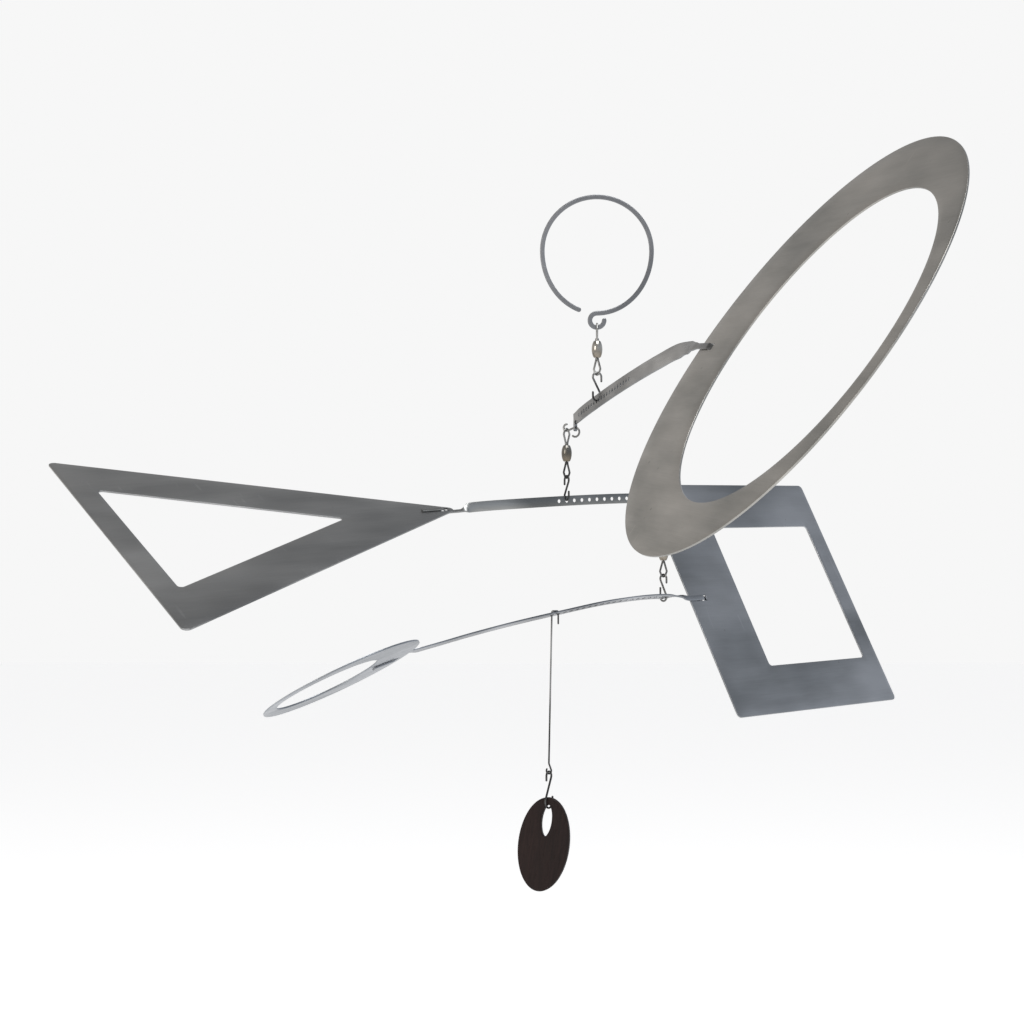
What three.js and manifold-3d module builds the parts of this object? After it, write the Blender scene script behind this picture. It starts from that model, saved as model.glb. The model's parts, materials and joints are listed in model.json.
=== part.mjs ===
// Hanging mobile: three perforated steel arms hung one below the other on barrel swivels, four cut-out
// plates (hoop, triangle, square, small ring) on the arm ends and a wooden pendant on a wire.
// Millimetres, +Z up. The origin is the inside top of the hanging ring, where the mobile is hung.

import * as THREE from 'three';
import { mergeVertices } from 'three/addons/utils/BufferGeometryUtils.js';
import Module from 'manifold-3d';

const wasm = await Module();
wasm.setup();

// ---- Driving dimensions (mm, degrees) ----

const GAP = 0.3; // between pieces that touch
const SHEET = 1.2; // thickness of plates and arms
const WIRE_RADIUS = 0.7;
const WIRE_SIDES = 6;
const ARC_STEP = 22.5; // degrees between the points of a bend

const HANGING_RING = { outerRadius: 43, band: 3.5, thickness: 1.5, curlRadius: 5.4, droop: 1.144,
  freeEndAngle: 253, curlEndAngle: 378 };

const HOLE_PITCH = 6.85;
const HOLE_RADIUS = 1.5;
const HOLE_SIDES = 8;

const TONGUE = { width: 4.3, inside: 30, slotLength: 6.6, slotWidth: 5.2 };
const TONGUE_LIFT = SHEET + GAP;

const HOOP = { diameter: 290, hole: 214, holeOffset: 24.5, pitch: -6.4, roll: 56.2, slotAt: 18 };
const TRIANGLE = { side: 314, holeSide: 185, holeOffset: 18, pitch: -5.7, roll: 23.5, slotAt: 11 };
const SQUARE = { side: 212, holeSide: 129, holeOffset: 22.7, pitch: 2, roll: 62.9, slotAt: 18 };
const SMALL_RING = { diameter: 117, hole: 75, holeOffset: 13.5, pitch: -14.8, roll: -22.6, slotAt: 10 };

// Each arm has its own frame: origin at the hole it hangs by, +X along the arm from left to right.
const UPPER_ARM = { heading: -76, z: -153.5, width: 10.5, firstHole: -7, lastHole: 12 };
const MIDDLE_ARM = { heading: 28, z: -225.2, width: 7.8, firstHole: -1, lastHole: 14 };
const LOWER_ARM = { heading: 44, z: -300, width: 8, firstHole: -19, lastHole: 2, roll: -24 };

// Where each arm's own frame carries the next swivel.
const SWIVEL_2_PLACE = { x: -66, y: -5.5 };
const SWIVEL_3_HOLE = 13;
const TAB = { x: -60.5, width: 4.3, top: -9, bottom: -17.5, holeZ: -14.3, holeRadius: 1.3, turn: 45 };

// A swivel's eye is a soft diamond: up from the collar, round two side corners and over a round top.
const EYE = { legX: 0.75, legZ: 0.6, cornerX: 2.05, cornerZ: 8, cornerRadius: 1, topZ: 10.3, topRadius: 2,
  collarRadius: 1.5, collarTop: 1.3, stemRadius: 0.7, headRadius: 1.9, headThickness: 0.9, neckLift: 0.6 };
const BARREL = { radius: 4.05, height: 12.8, endRadius: 2.2, boreRadius: 1.05, cavityRadius: 2.4,
  wall: 1.6 };
const BARREL_TOPS = [-107.6, -181.6, -258.3];

const HOOK_RADIUS = 3.3;
const HOOK_TAIL = 4;
const LINK = { tabRadius: 3.6, eyeRadius: 2.6 }; // sideways S between the tab and swivel 2

// The pendulum wire straddles the web between two neighbouring holes and ends in an eye.
const PENDULUM = { hole: -19, radius: 0.65, corner: 1.2, tail: 8, eyeZ: -130.9, lean: 3.3,
  eyeRadius: 2.2, eyeNeck: 5.5, eyeTurn: -79 };
const PENDANT = { width: 40, height: 71, thickness: 5, tilt: 8.5, holeWidth: 8, holeHeight: 24,
  holeTop: 5.5, turn: -64, centreZ: -185.9, hookRadius: 4.8, hookTurn: 191 };

const radians = THREE.MathUtils.degToRad;

// ---- Materials ----

function metal(color, roughness) {
  return () => new THREE.MeshStandardMaterial({ color, roughness, metalness: 1 });
}
const brushedSteel = metal(0x8d8f90, 0.38);
const wireSteel = metal(0x7d7f80, 0.3);
const swivelMetal = metal(0xa09a88, 0.28);
const darkWood = () => new THREE.MeshStandardMaterial({ color: 0x2a1614, roughness: 0.45, metalness: 0 });

// ---- Solids: joining and cutting ----

function toSolid(geometry) {
  const bare = geometry.clone();
  bare.deleteAttribute('normal');
  bare.deleteAttribute('uv');
  const merged = mergeVertices(bare, 1e-4);
  return new wasm.Manifold(new wasm.Mesh({
    numProp: 3,
    vertProperties: new Float32Array(merged.attributes.position.array),
    triVerts: new Uint32Array(merged.index.array),
  }));
}

function toGeometry(solid) {
  const mesh = solid.getMesh();
  const geometry = new THREE.BufferGeometry();
  geometry.setAttribute('position', new THREE.BufferAttribute(new Float32Array(mesh.vertProperties), 3));
  geometry.setIndex(new THREE.BufferAttribute(new Uint32Array(mesh.triVerts), 1));
  geometry.computeVertexNormals();
  return geometry;
}

function join(...geometries) {
  return toGeometry(geometries.map(toSolid).reduce((whole, piece) => whole.add(piece)));
}

function addMesh(parent, name, geometry, material) {
  const mesh = new THREE.Mesh(geometry, material());
  mesh.name = name;
  parent.add(mesh);
  return mesh;
}

// ---- Wires ----

function circleShape(radius, sides) {
  const corners = Array.from({ length: sides }, (_, i) => {
    const angle = (2 * Math.PI * i) / sides;
    return new THREE.Vector2(radius * Math.cos(angle), radius * Math.sin(angle));
  });
  return new THREE.Shape(corners);
}

// A round wire through the given points: a cylinder with one slice per point, bent onto them.
function wire(points, radius = WIRE_RADIUS) {
  const slices = points.length - 1;
  const geometry = new THREE.CylinderGeometry(radius, radius, 1, WIRE_SIDES, slices);
  let sideways = new THREE.Vector3(0, 1, 0);
  const frames = points.map((centre, i) => {
    const along = points[Math.min(i + 1, slices)].clone().sub(points[Math.max(i - 1, 0)]).normalize();
    sideways = sideways.clone().addScaledVector(along, -sideways.dot(along)).normalize();
    return { centre, sideways, across: new THREE.Vector3().crossVectors(along, sideways) };
  });
  const position = geometry.attributes.position;
  for (let i = 0; i < position.count; i++) {
    const frame = frames[Math.round((position.getY(i) + 0.5) * slices)];
    const point = frame.centre.clone()
      .addScaledVector(frame.sideways, position.getZ(i))
      .addScaledVector(frame.across, position.getX(i));
    position.setXYZ(i, point.x, point.y, point.z);
  }
  return geometry;
}

// Points of an arc in the XZ plane, angles in degrees counted from +X towards +Z.
function arc(centreX, centreZ, radius, from, to, step = ARC_STEP) {
  const count = Math.max(2, Math.ceil(Math.abs(to - from) / step));
  return Array.from({ length: count + 1 }, (_, i) => {
    const angle = radians(from + ((to - from) * i) / count);
    return new THREE.Vector3(centreX + radius * Math.cos(angle), 0, centreZ + radius * Math.sin(angle));
  });
}

// An S: round the first circle, straight across to the second one, round that the other way.
// The first circle is passed counter-clockwise, so the second is passed clockwise.
function sPath(first, second, startAngle, endAngle) {
  const reach = Math.hypot(second.x - first.x, second.z - first.z);
  const towards = THREE.MathUtils.radToDeg(Math.atan2(second.z - first.z, second.x - first.x));
  const aside = THREE.MathUtils.radToDeg(Math.acos((first.radius + second.radius) / reach));
  const leave = ((towards - aside) % 360 + 360) % 360;
  return [
    ...arc(first.x, first.z, first.radius, startAngle, leave),
    ...arc(second.x, second.z, second.radius, leave - 180, endAngle),
  ];
}

// S-hook in the XZ plane: open to the right above and to the left below, its wire's centre line from
// `top` down to `bottom`.
function sHook(top, bottom, lowerRadius = HOOK_RADIUS, lowerTail = HOOK_TAIL) {
  const upper = { x: 0, z: top - HOOK_RADIUS, radius: HOOK_RADIUS };
  const lower = { x: 0, z: bottom + lowerRadius, radius: lowerRadius };
  const bends = sPath(upper, lower, 0, -180);
  const upperEnd = bends[0].clone().add(new THREE.Vector3(0, 0, -HOOK_TAIL));
  const lowerEnd = bends[bends.length - 1].clone().add(new THREE.Vector3(0, 0, lowerTail));
  return wire([upperEnd, ...bends, lowerEnd]);
}

// ---- Hanging ring: a flat C with its lower end curled into a small open hook ----

// Outline of a band of even width along a centre line, with round ends.
function bandShape(centreLine, width) {
  const half = width / 2;
  const last = centreLine.length - 1;
  const sideways = centreLine.map((_, i) => {
    const along = centreLine[Math.min(i + 1, last)].clone().sub(centreLine[Math.max(i - 1, 0)]).normalize();
    return new THREE.Vector2(-along.z, along.x);
  });
  const flat = centreLine.map((p) => new THREE.Vector2(p.x, p.z));
  const left = flat.map((p, i) => p.clone().addScaledVector(sideways[i], half));
  const right = flat.map((p, i) => p.clone().addScaledVector(sideways[i], -half)).reverse();
  const roundEnd = (centre, edge) => [1, 2, 3, 4, 5].map((k) =>
    edge.clone().sub(centre).rotateAround(new THREE.Vector2(), (-Math.PI * k) / 6).add(centre));
  return new THREE.Shape([
    ...left, ...roundEnd(flat[last], left[last]),
    ...right, ...roundEnd(flat[0], right[last]),
  ]);
}

// A flat shape drawn in X and Z, extruded in Y and centred on it.
function uprightPlate(shape, thickness) {
  const geometry = new THREE.ExtrudeGeometry(shape, { depth: thickness, bevelEnabled: false, steps: 1 });
  geometry.translate(0, 0, -thickness / 2);
  return geometry.rotateX(Math.PI / 2);
}

function hangingRing() {
  const { outerRadius, band, thickness, curlRadius, droop, freeEndAngle, curlEndAngle } = HANGING_RING;
  const centreZ = band - outerRadius;
  // The round's lower half is deeper than a circle by the factor `droop`, and flows into the curl's top.
  const round = arc(0, centreZ, outerRadius - band / 2, freeEndAngle, -90, 9)
    .map((p) => p.setZ(p.z < centreZ ? centreZ + (p.z - centreZ) * droop : p.z));
  const curl = arc(0, round.pop().z - curlRadius, curlRadius, 90, curlEndAngle, 10);
  return uprightPlate(bandShape([...round, ...curl], band), thickness);
}

// ---- Barrel swivels ----

function lathe(profile, segments) {
  const points = profile.map(([r, z]) => new THREE.Vector2(r, z));
  return new THREE.LatheGeometry(points, segments).rotateX(Math.PI / 2);
}

// Which way the line faces that touches two circles on their right, in degrees.
function rightOfBoth(first, second) {
  const reach = Math.hypot(second.x - first.x, second.z - first.z);
  const towards = Math.atan2(second.z - first.z, second.x - first.x);
  return THREE.MathUtils.radToDeg(towards - Math.acos((first.radius - second.radius) / reach));
}

// Diamond eye on a collar, above a stem whose head sits inside the barrel. The barrel ends at -neckLift.
function swivelEye() {
  const leg = { x: EYE.legX, z: EYE.legZ, radius: 0 };
  const corner = { x: EYE.cornerX, z: EYE.cornerZ, radius: EYE.cornerRadius };
  const top = { x: 0, z: EYE.topZ, radius: EYE.topRadius };
  const leave = rightOfBoth(corner, top);
  const rightSide = [
    new THREE.Vector3(leg.x, 0, leg.z),
    ...arc(corner.x, corner.z, corner.radius, rightOfBoth(leg, corner), leave),
  ];
  const leftSide = rightSide.map((p) => new THREE.Vector3(-p.x, 0, p.z)).reverse();
  const loop = wire([...rightSide, ...arc(0, top.z, top.radius, leave, 180 - leave), ...leftSide]);
  const headTop = -(BARREL.wall + GAP + EYE.neckLift);
  const headBottom = headTop - EYE.headThickness;
  const collarBottom = GAP - EYE.neckLift;
  const stem = lathe([[0, headBottom], [EYE.headRadius, headBottom], [EYE.headRadius, headTop],
    [EYE.stemRadius, headTop], [EYE.stemRadius, collarBottom], [EYE.collarRadius, collarBottom],
    [EYE.collarRadius, EYE.collarTop], [0, EYE.collarTop]], 6);
  return join(loop, stem);
}

function swivelBarrel() {
  const { radius, height, endRadius, boreRadius, cavityRadius, wall } = BARREL;
  const bulge = [0, 0.25, 0.5, 0.75, 1].map((t) => {
    const r = endRadius + (radius - endRadius) * Math.sin(Math.PI * t) ** 0.6;
    return [r, -height * t];
  });
  const cavity = [[boreRadius, -height], [boreRadius, wall - height], [cavityRadius, wall - height],
    [cavityRadius, -wall], [boreRadius, -wall], [boreRadius, 0]];
  return lathe([...bulge, ...cavity, bulge[0]].reverse(), 12);
}

// Upper eye and barrel go with what is above, the lower eye with what is below.
function addSwivel(number, above, below, place, upperTurn, lowerTurn) {
  const top = BARREL_TOPS[number - 1];
  const upper = addMesh(above, `swivel_${number}_upper_eye`, swivelEye(), wireSteel);
  upper.position.set(place.x, place.y, top + EYE.neckLift - above.position.z);
  upper.rotation.z = radians(upperTurn);
  const barrel = addMesh(above, `swivel_${number}_barrel`, swivelBarrel(), swivelMetal);
  barrel.position.set(place.x, place.y, top - above.position.z);
  const lower = addMesh(below, `swivel_${number}_lower_eye`, swivelEye(), wireSteel);
  lower.position.set(0, 0, top - BARREL.height - EYE.neckLift - below.position.z);
  lower.rotation.set(Math.PI, 0, radians(lowerTurn));
}

// ---- Arms: flat strips that arch, twist and end in narrow tongues ----

// Stations along a strip. Each section names a place on the arch (x, z), the strip's width there, its
// roll (90 stands on edge, 0 lies flat) and its lift off that line along its own face.
function stations(sections) {
  const line = new THREE.CatmullRomCurve3(
    sections.map((s) => new THREE.Vector3(s.x, 0, s.z)), false, 'centripetal');
  const list = [];
  for (let k = 0; k < sections.length - 1; k++) {
    const [a, b] = [sections[k], sections[k + 1]];
    for (let j = 0; j < b.steps; j++) list.push(station(a, b, j / b.steps));
  }
  list.push(station(sections.at(-2), sections.at(-1), 1));
  return list;

  function station(a, b, share) {
    const t = (sections.indexOf(a) + share) / (sections.length - 1);
    const along = line.getTangent(t);
    const up = new THREE.Vector3(-along.z, 0, along.x);
    const mix = (key) => THREE.MathUtils.lerp(a[key] ?? 0, b[key] ?? 0, share);
    const roll = radians(mix('roll'));
    const across = new THREE.Vector3(0, Math.cos(roll), 0).addScaledVector(up, Math.sin(roll));
    const face = new THREE.Vector3().crossVectors(along, across);
    const centre = line.getPoint(t).addScaledVector(face, mix('lift'));
    return { centre, across, face, width: mix('width') };
  }
}

// A box with one slice per station, bent onto the stations.
function strip(list) {
  const slices = list.length - 1;
  const geometry = new THREE.BoxGeometry(1, 1, 1, slices, 1, 1);
  const position = geometry.attributes.position;
  for (let i = 0; i < position.count; i++) {
    const s = list[Math.round((position.getX(i) + 0.5) * slices)];
    const point = s.centre.clone()
      .addScaledVector(s.across, position.getY(i) * s.width)
      .addScaledVector(s.face, position.getZ(i) * SHEET);
    position.setXYZ(i, point.x, point.y, point.z);
  }
  return geometry;
}

function stationAt(list, x) {
  const i = Math.max(1, list.findIndex((s) => s.centre.x >= x));
  const [a, b] = [list[i - 1], list[i]];
  const share = (x - a.centre.x) / (b.centre.x - a.centre.x);
  return { centre: a.centre.clone().lerp(b.centre, share), face: a.face.clone().lerp(b.face, share) };
}

// A row of round holes from hole number `first` to `last`, counted from the hole at x = 0.
function drilled(solid, list, first, last) {
  for (let n = first; n <= last; n++) {
    const { centre, face } = stationAt(list, n * HOLE_PITCH);
    const drill = new THREE.CylinderGeometry(HOLE_RADIUS, HOLE_RADIUS, 6 * SHEET, HOLE_SIDES);
    const turn = new THREE.Quaternion().setFromUnitVectors(new THREE.Vector3(0, 1, 0), face.normalize());
    drill.applyQuaternion(turn).translate(centre.x, centre.y, centre.z);
    solid = solid.subtract(toSolid(drill));
  }
  return solid;
}

// Sections of the tongue that holds a plate: it leaves the arm's end, lies on one face of the plate,
// dives through the plate's slot and lies on the other face. `side` is +1 on the arm's right end.
function tongueSections(plate, edge, side, firstLift) {
  const pitch = radians(plate.pitch);
  const place = (distance, lift, width, steps) => ({
    x: edge.x + side * distance * Math.cos(pitch),
    z: edge.z + distance * Math.sin(pitch),
    roll: plate.roll, lift: lift * TONGUE_LIFT, width, steps,
  });
  const halfDive = 2.5;
  const list = [
    place(-4, firstLift, TONGUE.width, 1),
    place(plate.slotAt - halfDive, firstLift, TONGUE.width, 1),
    place(plate.slotAt + halfDive, -firstLift, TONGUE.width, 1),
    place(TONGUE.inside, -firstLift, TONGUE.width * 0.8, 1),
  ];
  return side > 0 ? list : list.reverse();
}

// ---- Plates: drawn with the arm's line as their x axis and the nearest edge at x = 0 ----

function circlePath(x, radius, sides) {
  return circleShape(radius, sides).getPoints().map((p) => new THREE.Vector2(p.x + x, p.y));
}

function slotPath(at) {
  const [length, width] = [TONGUE.slotLength / 2, TONGUE.slotWidth / 2];
  return [[-length, -width], [length, -width], [length, width], [-length, width]]
    .map(([x, y]) => new THREE.Vector2(at + x, y));
}

// Corners rounded by short arcs, for an outline that turns counter-clockwise.
function roundedPath(corners, radius, pieces = 4) {
  return corners.flatMap((corner, i) => {
    const before = corners.at(i - 1).clone().sub(corner).normalize();
    const after = corners[(i + 1) % corners.length].clone().sub(corner).normalize();
    const half = Math.acos(before.dot(after)) / 2;
    const middle = before.clone().add(after).normalize();
    const centre = corner.clone().addScaledVector(middle, radius / Math.sin(half));
    const start = corner.clone().addScaledVector(before, radius / Math.tan(half)).sub(centre);
    const turn = Math.PI - 2 * half;
    return Array.from({ length: pieces + 1 }, (_, k) =>
      start.clone().rotateAround(new THREE.Vector2(), (turn * k) / pieces).add(centre));
  });
}

function plateGeometry(outline, holes) {
  const shape = new THREE.Shape(outline);
  holes.forEach((hole) => shape.holes.push(new THREE.Path(hole)));
  const geometry = new THREE.ExtrudeGeometry(shape, { depth: SHEET, bevelEnabled: false, steps: 1 });
  return geometry.translate(0, 0, -SHEET / 2);
}

function roundPlate({ diameter, hole, holeOffset, slotAt }, sides) {
  const radius = diameter / 2;
  return plateGeometry(circlePath(radius, radius, sides),
    [circlePath(radius + holeOffset, hole / 2, sides - 12), slotPath(slotAt)]);
}

function squarePlate({ side, holeSide, holeOffset, slotAt }) {
  const corners = (centre, half) => [[-half, -half], [half, -half], [half, half], [-half, half]]
    .map(([x, y]) => new THREE.Vector2(centre + x, y));
  return plateGeometry(roundedPath(corners(side / 2, side / 2), 4),
    [roundedPath(corners(side / 2 + holeOffset, holeSide / 2), 3), slotPath(slotAt)]);
}

function trianglePlate({ side, holeSide, holeOffset, slotAt }) {
  const reach = side / Math.sqrt(3);
  const corners = (centre, length) => [180, -60, 60].map((angle) => new THREE.Vector2(
    centre + (length / Math.sqrt(3)) * Math.cos(radians(angle)),
    (length / Math.sqrt(3)) * Math.sin(radians(angle)),
  ));
  return plateGeometry(roundedPath(corners(reach, side), 4),
    [roundedPath(corners(reach + holeOffset, holeSide), 3), slotPath(slotAt)]);
}

// Turns a plate so that its x axis runs outwards along the arm's line, pitched and rolled as named.
function addPlate(parent, name, geometry, plate, edge, side) {
  const [pitch, roll] = [radians(plate.pitch), radians(plate.roll)];
  const outwards = new THREE.Vector3(side * Math.cos(pitch), 0, Math.sin(pitch));
  const up = new THREE.Vector3(-side * Math.sin(pitch), 0, Math.cos(pitch));
  const across = new THREE.Vector3(0, Math.cos(roll), 0).addScaledVector(up, Math.sin(roll));
  const face = new THREE.Vector3().crossVectors(outwards, across);
  const mesh = addMesh(parent, name, geometry, brushedSteel);
  mesh.setRotationFromMatrix(new THREE.Matrix4().makeBasis(outwards, across, face));
  mesh.position.set(edge.x, 0, edge.z);
  return mesh;
}

// ---- The three arms, each in its own frame ----

const mobile = new THREE.Group();

function addArmFrame(arm, x, y) {
  const frame = new THREE.Group();
  frame.position.set(x, y, arm.z);
  frame.rotation.z = radians(arm.heading);
  mobile.add(frame);
  return frame;
}

// A place in an arm's frame, seen from the whole mobile.
function placeOf(frame, x, y) {
  frame.updateMatrixWorld(true);
  return new THREE.Vector3(x, y, 0).applyMatrix4(frame.matrixWorld);
}

const upperFrame = addArmFrame(UPPER_ARM, 0, 0);
const swivel2 = placeOf(upperFrame, SWIVEL_2_PLACE.x, SWIVEL_2_PLACE.y);
const middleFrame = addArmFrame(MIDDLE_ARM, swivel2.x, swivel2.y);
const swivel3 = placeOf(middleFrame, SWIVEL_3_HOLE * HOLE_PITCH, 0);
const lowerFrame = addArmFrame(LOWER_ARM, swivel3.x, swivel3.y);

const hoopEdge = { x: 236.5, z: 11.8 };
const upperSections = [
  { x: -63.5, z: -8.2, width: 9.4, roll: 90 },
  { x: -45, z: -5.4, width: UPPER_ARM.width, roll: 90, steps: 2 },
  { x: 0, z: 0, width: UPPER_ARM.width, roll: 90, steps: 4 },
  { x: 83, z: 8.1, width: UPPER_ARM.width, roll: 90, steps: 6 },
  { x: 150, z: 13, width: UPPER_ARM.width, roll: 90, steps: 4 },
  { x: 189, z: 15, width: UPPER_ARM.width, roll: 86, steps: 4 },
  { x: 214, z: 14.2, width: UPPER_ARM.width * 0.9, roll: 66, lift: 0.6, steps: 5 },
  { x: 226, z: 12.9, width: UPPER_ARM.width * 0.6, roll: HOOP.roll, lift: TONGUE_LIFT, steps: 3 },
  ...tongueSections(HOOP, hoopEdge, 1, 1),
];
const upperStations = stations(upperSections);

// The tab stands under the arm's left end, turned half towards it, with a hole for the link.
function tab() {
  const { x, width, top, bottom, holeZ, holeRadius, turn } = TAB;
  const half = width / 2;
  const outline = [[half, top], [-half, top], [-half, bottom + 1], [1 - half, bottom],
    [half - 1, bottom], [half, bottom + 1]].map(([u, z]) => new THREE.Vector2(u, z));
  const shape = new THREE.Shape(outline);
  const hole = circlePath(0, holeRadius, HOLE_SIDES).map((p) => p.add(new THREE.Vector2(0, holeZ)));
  shape.holes.push(new THREE.Path(hole));
  return uprightPlate(shape, SHEET).rotateZ(radians(turn + 90)).translate(x, 0, 0);
}

const upperArm = toSolid(strip(upperStations)).add(toSolid(tab()));
addMesh(upperFrame, 'upper_arm',
  toGeometry(drilled(upperArm, upperStations, UPPER_ARM.firstHole, UPPER_ARM.lastHole)), brushedSteel);
addPlate(upperFrame, 'hoop_plate', roundPlate(HOOP, 76), HOOP, hoopEdge, 1);

const triangleEdge = { x: -95.5, z: -8.6 };
const middleSections = [
  ...tongueSections(TRIANGLE, triangleEdge, -1, -1),
  { x: -84.5, z: -7, width: MIDDLE_ARM.width, roll: 86, lift: -0.5, steps: 5 },
  { x: -76, z: -6.1, width: MIDDLE_ARM.width, roll: 90, steps: 3 },
  { x: -36, z: -2.7, width: MIDDLE_ARM.width, roll: 90, steps: 3 },
  { x: 0, z: 0, width: MIDDLE_ARM.width, roll: 90, steps: 3 },
  { x: 50, z: 3, width: MIDDLE_ARM.width, roll: 90, steps: 4 },
  { x: 102, z: 4.5, width: MIDDLE_ARM.width, roll: 90, steps: 3 },
];
const middleStations = stations(middleSections);
addMesh(middleFrame, 'middle_arm',
  toGeometry(drilled(toSolid(strip(middleStations)), middleStations, MIDDLE_ARM.firstHole,
    MIDDLE_ARM.lastHole)), brushedSteel);
addPlate(middleFrame, 'triangle_plate', trianglePlate(TRIANGLE), TRIANGLE, triangleEdge, -1);

// The hook's shank goes down through the lower arm's hole, so the arm lies beside the swivel's axis.
const lowerArmFrame = new THREE.Group();
lowerArmFrame.position.y = -HOOK_RADIUS;
lowerFrame.add(lowerArmFrame);

const squareEdge = { x: 27.5, z: -1.8 };
const smallRingEdge = { x: -277, z: -41.4 };
const lowerSections = [
  ...tongueSections(SMALL_RING, smallRingEdge, -1, 1),
  { x: -262, z: -38.2, width: LOWER_ARM.width, roll: LOWER_ARM.roll, lift: 0.6, steps: 2 },
  { x: -234, z: -32, width: LOWER_ARM.width, roll: LOWER_ARM.roll, steps: 2 },
  { x: -187, z: -23, width: LOWER_ARM.width, roll: LOWER_ARM.roll, steps: 2 },
  { x: -124, z: -12.7, width: LOWER_ARM.width, roll: LOWER_ARM.roll, steps: 2 },
  { x: -60, z: -3.6, width: LOWER_ARM.width, roll: LOWER_ARM.roll, steps: 2 },
  { x: 0, z: 0, width: LOWER_ARM.width, roll: LOWER_ARM.roll, steps: 2 },
  { x: 15, z: -0.6, width: LOWER_ARM.width * 0.8, roll: 10, lift: 0.6, steps: 3 },
  ...tongueSections(SQUARE, squareEdge, 1, 1),
];
const lowerStations = stations(lowerSections);
addMesh(lowerArmFrame, 'lower_arm',
  toGeometry(drilled(toSolid(strip(lowerStations)), lowerStations, LOWER_ARM.firstHole,
    LOWER_ARM.lastHole)), brushedSteel);
addPlate(lowerArmFrame, 'square_plate', squarePlate(SQUARE), SQUARE, squareEdge, 1);
addPlate(lowerArmFrame, 'small_ring_plate', roundPlate(SMALL_RING, 48), SMALL_RING, smallRingEdge, -1);

// ---- Hanging ring, swivels and hooks ----

addMesh(mobile, 'hanging_ring', hangingRing(), brushedSteel);

const eyeReach = EYE.neckLift + EYE.topZ + EYE.topRadius; // barrel's end to the far wire
const inEye = 2 * WIRE_RADIUS + GAP; // between wire centres where a hook bears on an eye
const inHole = HOLE_RADIUS - WIRE_RADIUS - GAP; // a wire bearing in a hole, off the hole's centre

// Centre lines of the eyes' far wires, in the mobile's own heights.
const upperEyeTop = (number) => BARREL_TOPS[number - 1] + eyeReach;
const lowerEyeBottom = (number) => BARREL_TOPS[number - 1] - BARREL.height - eyeReach;

addSwivel(1, mobile, upperFrame, { x: 0, y: 0 }, 90, 36);
addSwivel(2, upperFrame, middleFrame, SWIVEL_2_PLACE, 118, 12);
addSwivel(3, middleFrame, lowerFrame, { x: SWIVEL_3_HOLE * HOLE_PITCH, y: 0 }, 0, -20);

function addHook(frame, name, geometry, x, y, turn) {
  const hook = addMesh(frame, name, geometry, wireSteel);
  hook.position.set(x, y, 0);
  hook.rotation.z = radians(turn);
}

const upperHook = sHook(lowerEyeBottom(1) + inEye - UPPER_ARM.z, inHole);
addHook(upperFrame, 'upper_arm_hook', upperHook, 0, 0, 90);

const middleHook = sHook(lowerEyeBottom(2) + inEye - MIDDLE_ARM.z, inHole);
addHook(middleFrame, 'middle_arm_hook', middleHook, 0, 0, 90);

const dropX = SWIVEL_3_HOLE * HOLE_PITCH;
const dropTop = stationAt(middleStations, dropX).centre.z - inHole;
const dropHook = sHook(dropTop, upperEyeTop(3) - inEye - MIDDLE_ARM.z);
addHook(middleFrame, 'drop_hook', dropHook, dropX, 0, 90);

const underArm = -HOOK_RADIUS - GAP; // the shank hangs beside the arm, the free end comes up through it
const lowerHook = sHook(lowerEyeBottom(3) + inEye - LOWER_ARM.z, underArm, HOOK_RADIUS, 2 * HOOK_TAIL);
addHook(lowerFrame, 'lower_arm_hook', lowerHook, 0, 0, -90);

// The link lies sideways: one bend hangs in the tab's hole, the other carries swivel 2's upper eye.
function linkHook() {
  const { tabRadius, eyeRadius } = LINK;
  const aside = Math.hypot(TAB.x - SWIVEL_2_PLACE.x, SWIVEL_2_PLACE.y);
  const inTab = TAB.holeRadius - WIRE_RADIUS - GAP;
  const tabBend = { x: aside, z: TAB.holeZ - inTab - tabRadius, radius: tabRadius };
  const eyeBend = { x: 0, z: upperEyeTop(2) - inEye - UPPER_ARM.z + eyeRadius, radius: eyeRadius };
  return wire(sPath(tabBend, eyeBend, -140, -290));
}
addHook(upperFrame, 'link_hook', linkHook(), SWIVEL_2_PLACE.x, SWIVEL_2_PLACE.y, TAB.turn);

// ---- Pendulum wire and wooden pendant ----

function pendulumWire() {
  const { hole, radius, corner, tail, eyeZ, lean, eyeRadius, eyeNeck, eyeTurn } = PENDULUM;
  const [left, right] = [hole * HOLE_PITCH, (hole + 1) * HOLE_PITCH];
  const webTop = stationAt(lowerStations, right).centre.z + SHEET / 2;
  const top = webTop + GAP + radius;
  const foot = new THREE.Vector3(left - lean, 0, eyeZ + eyeNeck);
  const eye = arc(0, 0, eyeRadius, 30, -230).map((p) =>
    p.applyAxisAngle(new THREE.Vector3(0, 0, 1), radians(eyeTurn)).add(new THREE.Vector3(foot.x, 0, eyeZ)));
  return wire([
    new THREE.Vector3(right, 0, webTop - SHEET - tail),
    ...arc(right - corner, top - corner, corner, 0, 90),
    ...arc(left + corner, top - corner, corner, 90, 180),
    foot,
    ...eye,
  ], radius);
}
addMesh(lowerArmFrame, 'pendulum_wire', pendulumWire(), wireSteel);

const pendantX = PENDULUM.hole * HOLE_PITCH - PENDULUM.lean;

function ovalPath(width, height, centreY, count) {
  return circleShape(1, count).getPoints()
    .map((p) => new THREE.Vector2((p.x * width) / 2, (p.y * height) / 2 + centreY));
}

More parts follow.
